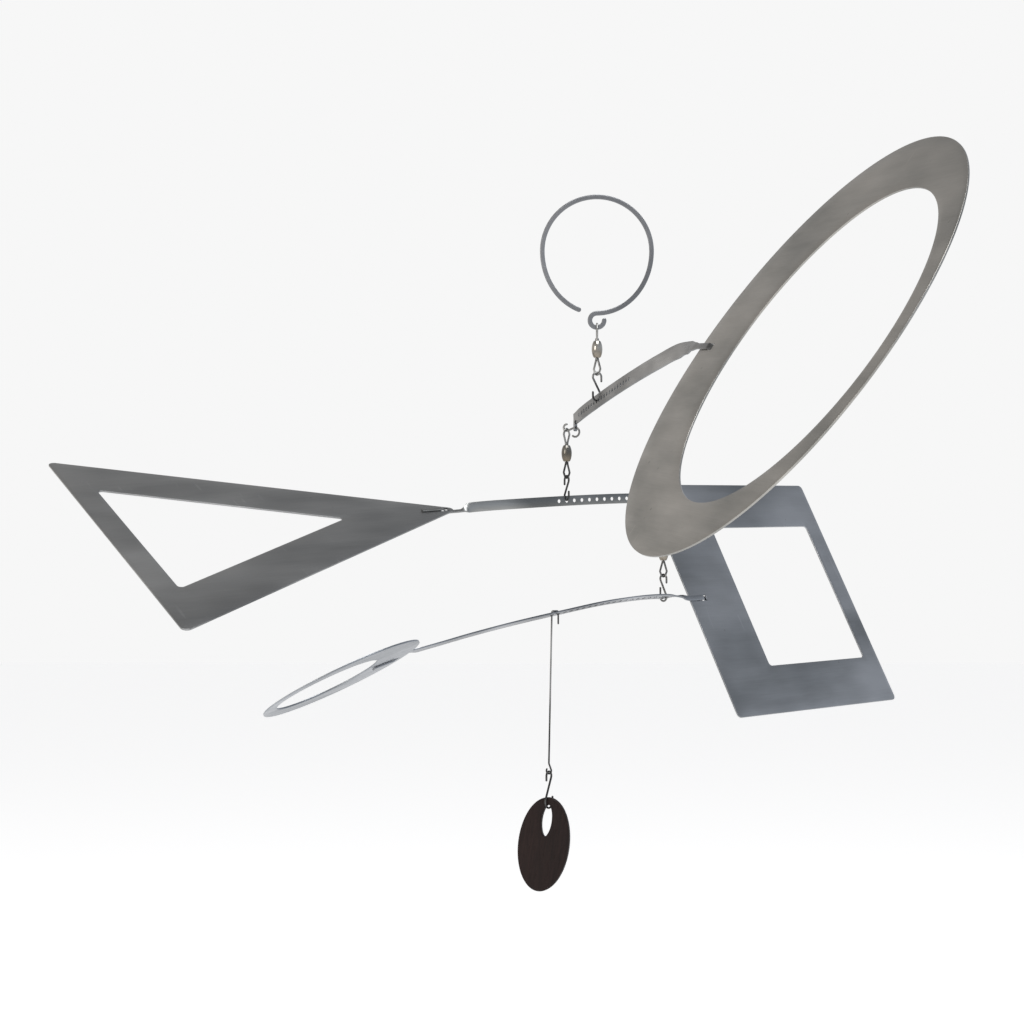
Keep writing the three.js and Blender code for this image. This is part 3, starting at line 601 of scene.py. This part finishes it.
def strip_stations(sections, spacing=1.5):
    """Centre, across and face of the strip at about every spacing, in the arm's own frame."""
    table = np.array(sections, dtype=float)
    stretch = np.linalg.norm(np.diff(table[:, :2], axis=0), axis=1)
    at = np.concatenate([row + np.arange(max(4, int(gap / spacing))) / max(4, int(gap / spacing))
                         for row, gap in enumerate(stretch)] + [[len(table) - 1]])
    line = smooth_line(table[:, :2], at)
    width, roll, lift = ease(table[:, 2:], at).T
    direction = np.gradient(line, axis=0)
    direction /= np.linalg.norm(direction, axis=1, keepdims=True)
    along = np.stack([direction[:, 0], 0 * roll, direction[:, 1]], axis=-1)
    up = np.stack([-direction[:, 1], 0 * roll, direction[:, 0]], axis=-1)
    roll = np.radians(roll)[:, None]
    across = np.array([0, 1, 0]) * np.cos(roll) + up * np.sin(roll)
    face = np.cross(along, across)
    centre = np.stack([line[:, 0], 0 * lift, line[:, 1]], axis=-1) + face * lift[:, None]
    return centre, across, face, width


def strip(name, stations, corner=0.3):
    """The section is an oblong of the station's width and the sheet's thickness with rounded corners."""
    centre, across, face, width = stations
    corners = np.sign(oblong_outline(2, 2, 0.5, 3))
    rounding = oblong_outline(2 * corner, 2 * corner, corner, 3)
    half = np.stack([width / 2 - corner, np.full(len(width), SHEET / 2 - corner)], axis=-1)
    outline = half[:, None] * corners[None] + rounding[None]
    return skin(name, centre[:, None] + across[:, None] * outline[..., :1] + face[:, None] * outline[..., 1:])

# %% Drilled holes
HOLE_PITCH = 6.85
HOLE_RADIUS = 1.5


def drill_row(stations, first, last, sides=24):
    """One short rod per hole, square to the strip's face at its station, all in one mesh."""
    centre, across, face, _ = stations
    at = np.arange(first, last + 1) * HOLE_PITCH
    middle = np.stack([np.interp(at, centre[:, 0], centre[:, k]) for k in range(3)], axis=-1)
    axis = np.stack([np.interp(at, centre[:, 0], face[:, k]) for k in range(3)], axis=-1)
    side = np.stack([np.interp(at, centre[:, 0], across[:, k]) for k in range(3)], axis=-1)
    other = np.cross(axis, side)
    outline = circle_outline(HOLE_RADIUS, sides)
    rim = middle[:, None] + side[:, None] * outline[None, :, :1] + other[:, None] * outline[None, :, 1:]
    rods = [skin("rod", np.stack([ring - axis[k] * 4, ring + axis[k] * 4])) for k, ring in enumerate(rim)]
    whole = bmesh.new()
    for rod in rods:
        whole.from_mesh(rod.data)
    drills = bpy.data.meshes.new("drills")
    whole.to_mesh(drills)
    whole.free()
    for rod in rods:
        bpy.data.objects.remove(rod)
    piece = bpy.data.objects.new("drills", drills)
    bpy.context.collection.objects.link(piece)
    return piece


def tongue(edge, pitch, roll, slot_at, side, first_lift):
    """Four sections: onto the plate's face, up to the slot, out of it on the other face, and the tip."""
    lift = first_lift * (SHEET + GAP)
    run, rise = side * math.cos(math.radians(pitch)), math.sin(math.radians(pitch))
    plan = ((-4, 4.3, lift), (slot_at - 2.5, 4.3, lift), (slot_at + 2.5, 4.3, -lift), (30, 3.44, -lift))
    rows = [(edge[0] + distance * run, edge[1] + distance * rise, width, roll, height)
            for distance, width, height in plan]
    return rows if side > 0 else rows[::-1]

# %% [markdown]
# The upper arm stands on edge along most of its length. Under its left end is a small tab, turned half
# towards it, with the hole for the next link. Its right end twists over and narrows into the tongue.

# %% Upper arm
upper_sections = [
    (-63.5, -8.2, 9.4, 90, 0), (-45, -5.4, 10.5, 90, 0), (0, 0, 10.5, 90, 0), (83, 8.1, 10.5, 90, 0),
    (150, 13, 10.5, 90, 0), (189, 15, 10.5, 86, 0), (214, 14.2, 9.45, 66, 0.6), (226, 12.9, 6.3, 56.2, 1.5),
    *tongue((236.5, 11.8), -6.4, 56.2, 18, 1, 1),
]
upper_line = strip_stations(upper_sections)
upper_arm = strip("upper_perforated_arm", upper_line)
TAB_X, TAB_TURN, TAB_HOLE_Z, TAB_HOLE_RADIUS = -60.5, 45, -14.3, 1.3
tab_outline = np.array([(2.15, -9), (-2.15, -9), (-2.15, -16.5), (-1.6, -17.2), (-1.0, -17.5),
                        (1.0, -17.5), (1.6, -17.2), (2.15, -16.5)])
tab_grid = np.stack([np.insert(tab_outline, 1, side, axis=1) for side in (-SHEET / 2, SHEET / 2)])
tab = skin("tab", tab_grid)
hole_outline = circle_outline(TAB_HOLE_RADIUS) + (0, TAB_HOLE_Z)
tab_hole = skin("tab_hole", np.stack([np.insert(hole_outline, 1, side, axis=1) for side in (-3, 3)]))
combine(tab, tab_hole, "DIFFERENCE")
tab.data.transform(Matrix(turned(TAB_TURN + 90, TAB_X, 0, 0)))
combine(upper_arm, tab, "UNION")
combine(upper_arm, drill_row(upper_line, -7, 12), "DIFFERENCE")
upper_arm.data.transform(Matrix(upper))
upper_steel = steel("upper_arm_steel", (0.15, 0.155, 0.16), (0.44, 0.445, 0.45), upper,
                    roughness=0.28, clouds=2.0)
finish_piece(upper_arm, "upper_arm", "upper", upper_steel)

# %% Middle arm
middle_sections = [
    *tongue((-95.5, -8.6), -5.7, 23.5, 11, -1, -1),
    (-84.5, -7, 7.8, 86, -0.5), (-76, -6.1, 7.8, 90, 0), (-36, -2.7, 7.8, 90, 0), (0, 0, 7.8, 90, 0),
    (50, 3, 7.8, 90, 0), (102, 4.5, 7.8, 90, 0),
]
middle_line = strip_stations(middle_sections)
middle_arm = strip("middle_perforated_arm", middle_line)
combine(middle_arm, drill_row(middle_line, -1, 14), "DIFFERENCE")
middle_arm.data.transform(Matrix(middle))
middle_steel = steel("middle_arm_steel", (0.16, 0.165, 0.165), (0.40, 0.405, 0.40), middle,
                     roughness=0.32, clouds=1.8)
finish_piece(middle_arm, "middle_arm", "middle", middle_steel)

# %% Lower arm
lower_sections = [
    *tongue((-277, -41.4), -14.8, -22.6, 10, -1, 1),
    (-262, -38.2, 8, -24, 0.6), (-234, -32, 8, -24, 0), (-187, -23, 8, -24, 0), (-124, -12.7, 8, -24, 0),
    (-60, -3.6, 8, -24, 0), (0, 0, 8, -24, 0), (15, -0.6, 6.4, 10, 0.6),
    *tongue((27.5, -1.8), 2, 62.9, 18, 1, 1),
]
lower_line = strip_stations(lower_sections)
lower_arm = strip("lower_perforated_arm", lower_line)
combine(lower_arm, drill_row(lower_line, -19, 2), "DIFFERENCE")
lower_arm.data.transform(Matrix(beside_hook))
lower_steel = steel("lower_arm_steel", (0.18, 0.19, 0.205), (0.52, 0.535, 0.56), lower,
                    roughness=0.28, clouds=2.0)
finish_piece(lower_arm, "lower_arm", "lower", lower_steel)

# %% [markdown]
# ## Barrel swivels
#
# A barrel swivel is a small hollow barrel with a wire eye at each end. The stem of each eye ends in a
# head inside the barrel, so either eye can turn. The barrel is a profile turned about the upright axis.
# The eye is one wire, bent to a soft diamond, that leaves a small collar and comes back into it.

# %% Turned pieces
def turn_profile(profile, sides=48):
    """Each (radius, height) of the profile goes once round: radius cosine, radius sine, height."""
    profile = np.array(profile, dtype=float)
    angle = np.linspace(0, 2 * np.pi, sides, endpoint=False)
    return np.stack([profile[:, :1] * np.cos(angle), profile[:, :1] * np.sin(angle),
                     np.broadcast_to(profile[:, 1:], (len(profile), sides))], axis=-1)


def place_copy(source, name, matrix):
    """A copy of a finished shape, moved to its place."""
    copy = bpy.data.objects.new(name, source.data.copy())
    bpy.context.collection.objects.link(copy)
    copy.data.transform(Matrix(matrix))
    return copy


BARREL_HEIGHT, BARREL_END, BARREL_BULGE = 12.8, 2.2, 1.85
BORE, CAVITY, WALL = 1.05, 2.4, 1.6
t = np.linspace(0, 1, 28)
outside = np.stack([BARREL_END + BARREL_BULGE * np.sin(np.pi * t) ** 0.6, -BARREL_HEIGHT * t], axis=-1)
cavity = [(BORE, -BARREL_HEIGHT), (BORE, WALL - BARREL_HEIGHT), (CAVITY, WALL - BARREL_HEIGHT),
          (CAVITY, -WALL), (BORE, -WALL), (BORE, 0)]
barrel_shape = skin("barrel_shape", turn_profile([*outside, *cavity]), loop=True)
print("barrel shape:", len(barrel_shape.data.polygons), "faces")

# %% Wire eyes
def right_of_both(first, second):
    """The direction in which the line faces that touches both circles (x, z, radius) on their right."""
    dx, dz = second[0] - first[0], second[1] - first[1]
    away = math.acos((first[2] - second[2]) / math.hypot(dx, dz))
    return math.degrees(math.atan2(dz, dx) - away)


leg, corner, top = (0.75, 0.6, 0), (2.05, 8, 1), (0, 10.3, 2)  # circles (x, z, radius)
leave = right_of_both(corner, top)
right_side = np.vstack([[(leg[0], 0, leg[1])], arc(*corner, right_of_both(leg, corner), leave)])
left_side = right_side[::-1] * (-1, 1, 1)
eye_path = np.vstack([right_side, arc(*top, leave, 180 - leave), left_side])
eye_shape = carry("eye_shape", eye_path, (0, 1, 0), round_wire, spacing=0.35)
stem = [(1.9, -3.4), (1.9, -2.5), (0.7, -2.5), (0.7, -2.2)]
collar = [(0.7, -0.3), (1.2, -0.3), (1.5, -0.05), (1.5, 0.35), (1.3, 0.5), (1.5, 0.65), (1.5, 1.0),
          (1.1, 1.3)]
stem_shape = skin("stem_shape", turn_profile([*stem, *collar], 32))
combine(eye_shape, stem_shape, "UNION")
print("eye shape:", len(eye_shape.data.polygons), "faces")

# %% [markdown]
# The barrels are plated brass: pale nickel towards the top and tan towards the bottom. The
# change from one to the other follows the height inside each barrel, broken up by noise.

# %% Plated brass
def plated_brass(name, barrel_top):
    """Nickel above and brass tan below, mixed by height from the barrel's top in metres plus noise."""
    material = steel(name, (0.13, 0.125, 0.11), (0.56, 0.54, 0.50), roughness=0.2, clouds=2.4)
    tree = material.node_tree
    shader = tree.nodes["Principled BSDF"]
    coordinates = tree.nodes.new("ShaderNodeTexCoord")
    split = tree.nodes.new("ShaderNodeSeparateXYZ")
    tree.links.new(coordinates.outputs["Object"], split.inputs[0])
    patch = noise(tree, coordinates.outputs["Object"], 1.0, (260, 260, 260), detail=3)
    height = compute(tree, "ADD", split.outputs["Z"], compute(tree, "MULTIPLY", patch, 0.006))
    # the tan share is set by height alone: none near the barrel's top, most towards its bottom
    tone_share = spread_to(tree, height, 1, 0, barrel_top - 0.0085, barrel_top - 0.0015)
    blend = tree.nodes.new("ShaderNodeMix")
    blend.data_type = "RGBA"
    blend.inputs["B"].default_value = (0.25, 0.205, 0.15, 1)
    plain = shader.inputs["Base Color"].links[0].from_socket
    tree.links.new(compute(tree, "MULTIPLY", tone_share, 0.6), blend.inputs["Factor"])
    tree.links.new(plain, blend.inputs["A"])
    tree.links.new(blend.outputs["Result"], shader.inputs["Base Color"])
    return material

# %% Three swivels
barrel_tops = (-107.6, -181.6, -258.3)
arms = (np.eye(4), upper, middle, lower)
bodies = ("hanger", "upper", "middle", "lower")
NECK_LIFT = 0.6  # from a barrel's end to its eye's own zero height
eye_turns = ((90, UPPER_HEADING + 36), (UPPER_HEADING + 118, MIDDLE_HEADING + 12),
             (MIDDLE_HEADING, LOWER_HEADING - 20))
flip = np.diag([1.0, -1.0, -1.0, 1.0])
for number, (line, top_z, turns) in enumerate(zip(swivel_lines, barrel_tops, eye_turns), start=1):
    above, below = bodies[number - 1], bodies[number]
    upper_place = turned(turns[0], *line, top_z + NECK_LIFT)
    upper_eye = place_copy(eye_shape, f"swivel_{number}_upper_wire_eye", upper_place)
    finish_piece(upper_eye, f"swivel_{number}_upper_eye", above, wire_steel, 50)
    barrel = place_copy(barrel_shape, f"swivel_{number}_turned_barrel", turned(0, *line, top_z))
    brass = plated_brass(f"plated_brass_{number}", top_z / 1000)
    finish_piece(barrel, f"swivel_{number}_barrel", above, brass)
    lower_place = turned(turns[1], *line, top_z - BARREL_HEIGHT - NECK_LIFT) @ flip
    lower_eye = place_copy(eye_shape, f"swivel_{number}_lower_wire_eye", lower_place)
    finish_piece(lower_eye, f"swivel_{number}_lower_eye", below, wire_steel, 50)
for shape in (barrel_shape, eye_shape):
    bpy.data.objects.remove(shape)

# %% [markdown]
# ## Hooks and the link
#
# The S-hooks are bent from the same 1.4 mm wire. Each bears with 0.3 mm of play on the eye above and
# in its hole below. The link between the upper arm's tab and the second swivel lies sideways.

# %% S-hooks
eye_reach = NECK_LIFT + top[1] + top[2]
bear = 2 * WIRE + GAP
in_hole = HOLE_RADIUS - WIRE - GAP


def lower_eye_bottom(number):
    """Height of the far wire of a swivel's lower eye."""
    return barrel_tops[number - 1] - BARREL_HEIGHT - eye_reach


def upper_eye_top(number):
    """Height of the far wire of a swivel's upper eye."""
    return barrel_tops[number - 1] + eye_reach


def hook(name, node, body, arm, path, x=0, y=0, turn=90):
    """An S-hook at (x, y) of an arm's frame, turned about the upright line."""
    piece = bend_wire(name, arm @ turned(turn, x, y, 0), path)
    return finish_piece(piece, node, body, wire_steel, 50)


def height_on(line, x):
    """The height of an arm's centre line at x."""
    return np.interp(x, line[0][:, 0], line[0][:, 2])


upper_hook = s_hook_path(lower_eye_bottom(1) + bear - UPPER_Z, in_hole)
hook("upper_s_hook", "upper_arm_hook", "upper", upper, upper_hook)
middle_hook = s_hook_path(lower_eye_bottom(2) + bear - MIDDLE_Z, in_hole)
hook("middle_s_hook", "middle_arm_hook", "middle", middle, middle_hook)
drop_x = 13 * HOLE_PITCH
drop_hook = s_hook_path(height_on(middle_line, drop_x) - in_hole, upper_eye_top(3) - bear - MIDDLE_Z)
hook("drop_s_hook", "drop_hook", "middle", middle, drop_hook, x=drop_x)
lower_hook = s_hook_path(lower_eye_bottom(3) + bear - LOWER_Z, -HOOK_RADIUS - GAP, lower_tail=2 * HOOK_TAIL)
hook("lower_s_hook", "lower_arm_hook", "lower", lower, lower_hook, turn=-90)

# %% Sideways link
SWIVEL_2_X, SWIVEL_2_Y = -66, -5.5  # in the upper arm's frame
TAB_BEND, EYE_BEND = 3.6, 2.6  # radii of the link's two bends
tab_bend_z = TAB_HOLE_Z - (TAB_HOLE_RADIUS - WIRE - GAP) - TAB_BEND
eye_bend_z = upper_eye_top(2) - bear - UPPER_Z + EYE_BEND
link_path = s_path((math.hypot(TAB_X - SWIVEL_2_X, SWIVEL_2_Y), tab_bend_z, TAB_BEND),
                   (0, eye_bend_z, EYE_BEND), -140, -290)
hook("sideways_link", "link_hook", "upper", upper, link_path, x=SWIVEL_2_X, y=SWIVEL_2_Y, turn=TAB_TURN)

# %% [markdown]
# ## Pendulum wire and pendant
#
# The wire straddles the narrow web between two of the lower arm's holes, with a short free end on one
# side. On the other it runs down to an eye. The eye is turned away from the arm, so the wire's sideways
# direction turns with it on the long straight run.

# %% Pendulum wire
LONG_WIRE = 0.65  # radius
LOOP_Z, LOOP_RADIUS, LOOP_NECK = -130.9, 2.2, 5.5  # the eye at its foot
BEND = 1.2  # radius of the two corners over the arm
left, right = -19 * HOLE_PITCH, -18 * HOLE_PITCH
pendant_x = left - 3.3
web_top = height_on(lower_line, right) + SHEET / 2
saddle = web_top + GAP + LONG_WIRE
eye_turn = math.radians(-79)
foot = np.array([pendant_x, 0, LOOP_Z + LOOP_NECK])
eye_loop = arc(0, 0, LOOP_RADIUS, 30, -230)
eye_loop = np.stack([eye_loop[:, 0] * math.cos(eye_turn) + pendant_x,
                     eye_loop[:, 0] * math.sin(eye_turn), eye_loop[:, 2] + LOOP_Z], axis=-1)
over_arm = np.vstack([[(right, 0, web_top - SHEET - 8)],
                      arc(right - BEND, saddle - BEND, BEND, 0, 90),
                      arc(left + BEND, saddle - BEND, BEND, 90, 180)])
run_share = np.linspace(0, 1, 60)[1:, None]
run = over_arm[-1] + (foot - over_arm[-1]) * run_share
pendulum_path = np.vstack([over_arm, run, eye_loop])
turning = np.concatenate([np.zeros(len(over_arm)), eye_turn * run_share[:, 0],
                          np.full(len(eye_loop), eye_turn)])
sideways = np.stack([-np.sin(turning), np.cos(turning), 0 * turning], axis=-1)
pendulum = carry("pendulum_bent_wire", put(beside_hook, pendulum_path), sideways @ beside_hook[:3, :3].T,
                 circle_outline(LONG_WIRE), spacing=0.5, cap=LONG_WIRE)
finish_piece(pendulum, "pendulum_wire", "lower", wire_steel, 50)

# %% [markdown]
# The pendant is a flat oval of very dark wood, 40 by 71 mm, with an almond hole near its top. Its edge
# is rubbed round and its faces have a slight crown. The grain runs along the oval.

# %% Wooden oval
def oval_line(width, height, centre, count):
    """Half the width times cosine, half the height times sine plus the centre."""
    return circle_outline(1, count) * (width / 2, height / 2) + (0, centre)


def almond_line(width, height, centre, count):
    """An oval whose sides come in faster near its ends: the cosine is raised to a power above one."""
    x, y = circle_outline(1, count).T
    return np.stack([np.sign(x) * np.abs(x) ** 1.25 * width / 2, y * height / 2 + centre], axis=-1)


OVAL_WIDTH, OVAL_HEIGHT, OVAL_Z = 40, 71, -185.9
ALMOND_WIDTH, ALMOND_HEIGHT = 8, 24
almond_top = OVAL_HEIGHT / 2 - 5.5
oval_grid = band(oval_line(OVAL_WIDTH, OVAL_HEIGHT, 0, 144),
                 almond_line(ALMOND_WIDTH, ALMOND_HEIGHT, almond_top - ALMOND_HEIGHT / 2, 144),
                 4.6, 1.5, crown=0.2, steps=8)
lean = Matrix.Rotation(math.radians(-64), 4, "Z") @ Matrix.Rotation(math.radians(8.5), 4, "Y")
hang_point = np.array(lean)[:3, :3] @ np.array([0, 0, almond_top - WIRE - GAP - 1.5])
upright = Matrix.Rotation(math.radians(90), 4, "X")
pendant_place = beside_hook @ np.array(
    Matrix.Translation((pendant_x - hang_point[0], -hang_point[1], OVAL_Z)) @ lean @ upright)
pendant = skin("dark_wooden_oval", put(pendant_place, oval_grid), loop=True)

# %% Dark wood
dark_wood = bpy.data.materials.new("dark_wood")
dark_wood.use_nodes = True
tree = dark_wood.node_tree
shader = tree.nodes["Principled BSDF"]
coordinates = tree.nodes.new("ShaderNodeTexCoord")
turn = tree.nodes.new("ShaderNodeMapping")
turn.inputs["Rotation"].default_value = Matrix(pendant_place[:3, :3]).inverted().to_euler()
tree.links.new(coordinates.outputs["Object"], turn.inputs["Vector"])
grain = noise(tree, turn.outputs["Vector"], 1.0, (520, 26, 520), detail=4, roughness=0.65)
figure = noise(tree, turn.outputs["Vector"], 1.0, (90, 20, 90), detail=2)
pores = noise(tree, turn.outputs["Vector"], 1.0, (1900, 130, 1900), detail=1)
tone = tree.nodes.new("ShaderNodeValToRGB")
tone.color_ramp.elements[0].position = 0.3
tone.color_ramp.elements[0].color = (0.006, 0.0032, 0.0028, 1)
tone.color_ramp.elements[1].position = 0.72
tone.color_ramp.elements[1].color = (0.026, 0.013, 0.011, 1)
figured = compute(tree, "MULTIPLY", figure, 0.4)
tree.links.new(compute(tree, "ADD", compute(tree, "MULTIPLY", grain, 0.6), figured), tone.inputs["Fac"])
tree.links.new(tone.outputs["Color"], shader.inputs["Base Color"])
open_pores = spread_to(tree, pores, 0, 1, 0.62, 0.72)
dull_pores = compute(tree, "MULTIPLY", open_pores, 0.2)
tree.links.new(compute(tree, "ADD", spread_to(tree, grain, 0.42, 0.55), dull_pores),
               shader.inputs["Roughness"])
bump = tree.nodes.new("ShaderNodeBump")
bump.inputs["Strength"].default_value = 0.6
bump.inputs["Distance"].default_value = 0.0002
tree.links.new(compute(tree, "SUBTRACT", grain, open_pores), bump.inputs["Height"])
tree.links.new(bump.outputs["Normal"], shader.inputs["Normal"])
shader.inputs["Specular IOR Level"].default_value = 0.2
finish_piece(pendant, "wooden_pendant", "lower", dark_wood)

# %% Pendant's hook
pendant_hook = s_hook_path(LOOP_Z - LOOP_RADIUS + bear, OVAL_Z + hang_point[2], lower_radius=4.8)
hook("pendant_s_hook", "pendant_hook", "lower", beside_hook, pendant_hook, x=pendant_x, turn=191)

# %% [markdown]
# ## Studio
#
# A pale floor lies well below. The metal shows what stands around it, so the surroundings are a soft
# gradient: bright near the horizon, darker overhead, a little warm on the left and cool on the right.
# Seen directly, the background is plain and pale, and the floor glows enough to run on into it.

# %% Floor
floor_mesh = bpy.data.meshes.new("studio_floor")
FLOOR_REACH, FLOOR_Z = 14, -0.8  # metres
corners = [(x * FLOOR_REACH, y * FLOOR_REACH, FLOOR_Z) for x, y in ((-1, -1), (1, -1), (1, 1), (-1, 1))]
floor_mesh.from_pydata(corners, [], [(0, 1, 2, 3)])
floor = bpy.data.objects.new("studio_floor", floor_mesh)
bpy.context.collection.objects.link(floor)
floor_paint = bpy.data.materials.new("pale_floor")
floor_paint.use_nodes = True
tree = floor_paint.node_tree
floor_shader = tree.nodes["Principled BSDF"]
floor_shader.inputs["Base Color"].default_value = (0.82, 0.82, 0.82, 1)
floor_shader.inputs["Roughness"].default_value = 0.9
floor_shader.inputs["Emission Color"].default_value = (1, 1, 1, 1)
seen_glow = compute(tree, "MULTIPLY", tree.nodes.new("ShaderNodeLightPath").outputs["Is Camera Ray"], 0.26)
tree.links.new(compute(tree, "ADD", seen_glow, 0.35), floor_shader.inputs["Emission Strength"])
floor_mesh.materials.append(floor_paint)

# %% Surroundings
world = bpy.data.worlds.new("studio")
bpy.context.scene.world = world
world.use_nodes = True
tree = world.node_tree
tree.nodes.clear()
direction = tree.nodes.new("ShaderNodeTexCoord")
split = tree.nodes.new("ShaderNodeSeparateXYZ")
tree.links.new(direction.outputs["Generated"], split.inputs[0])
by_height = tree.nodes.new("ShaderNodeValToRGB")
stops = ((0.0, 0.75), (0.5, 0.72), (0.62, 0.62), (0.72, 0.45), (0.85, 0.28), (1.0, 0.3))
ramp = by_height.color_ramp
while len(ramp.elements) < len(stops):
    ramp.elements.new(0.5)
for element, (position, value) in zip(ramp.elements, stops):
    element.position = position
    element.color = (value, value, value, 1)
tree.links.new(spread_to(tree, split.outputs["Z"], 0, 1, -1, 1), by_height.inputs["Fac"])
tint = tree.nodes.new("ShaderNodeMix")
tint.data_type = "RGBA"
tint.inputs["A"].default_value = (1.05, 1.0, 0.94, 1)
tint.inputs["B"].default_value = (0.93, 0.99, 1.08, 1)
tree.links.new(spread_to(tree, split.outputs["X"], 0, 1, -0.6, 0.6), tint.inputs["Factor"])
tinted = tree.nodes.new("ShaderNodeMix")
tinted.data_type = "RGBA"
tinted.blend_type = "MULTIPLY"
tinted.inputs["Factor"].default_value = 1.0
tree.links.new(by_height.outputs["Color"], tinted.inputs["A"])
tree.links.new(tint.outputs["Result"], tinted.inputs["B"])
around = tree.nodes.new("ShaderNodeBackground")
tree.links.new(tinted.outputs["Result"], around.inputs["Color"])
seen = tree.nodes.new("ShaderNodeBackground")
seen.inputs["Color"].default_value = (0.93, 0.93, 0.93, 1)
path_kind = tree.nodes.new("ShaderNodeLightPath")
choose = tree.nodes.new("ShaderNodeMixShader")
tree.links.new(path_kind.outputs["Is Camera Ray"], choose.inputs["Fac"])
tree.links.new(around.outputs[0], choose.inputs[1])
tree.links.new(seen.outputs[0], choose.inputs[2])
tree.links.new(choose.outputs[0], tree.nodes.new("ShaderNodeOutputWorld").inputs["Surface"])

# %% Soft lamps
def soft_lamp(name, location, target, size, power, color=(1, 1, 1)):
    """A square area lamp at location, facing target, with its power in watts."""
    data = bpy.data.lights.new(name, "AREA")
    data.size = size
    data.energy = power
    data.color = color
    lamp = bpy.data.objects.new(name, data)
    lamp.location = location
    facing = Matrix.Translation(target).translation - lamp.location
    lamp.rotation_euler = facing.to_track_quat("-Z", "Y").to_euler()
    bpy.context.collection.objects.link(lamp)
    return lamp


soft_lamp("overhead", (0.2, -0.9, 1.6), (0, 0, -0.3), 1.6, 34)
soft_lamp("left_front", (-1.9, -1.8, 0.4), (0, 0, -0.3), 0.9, 10, (1.0, 0.97, 0.93))
bpy.context.scene.view_settings.view_transform = "Standard"
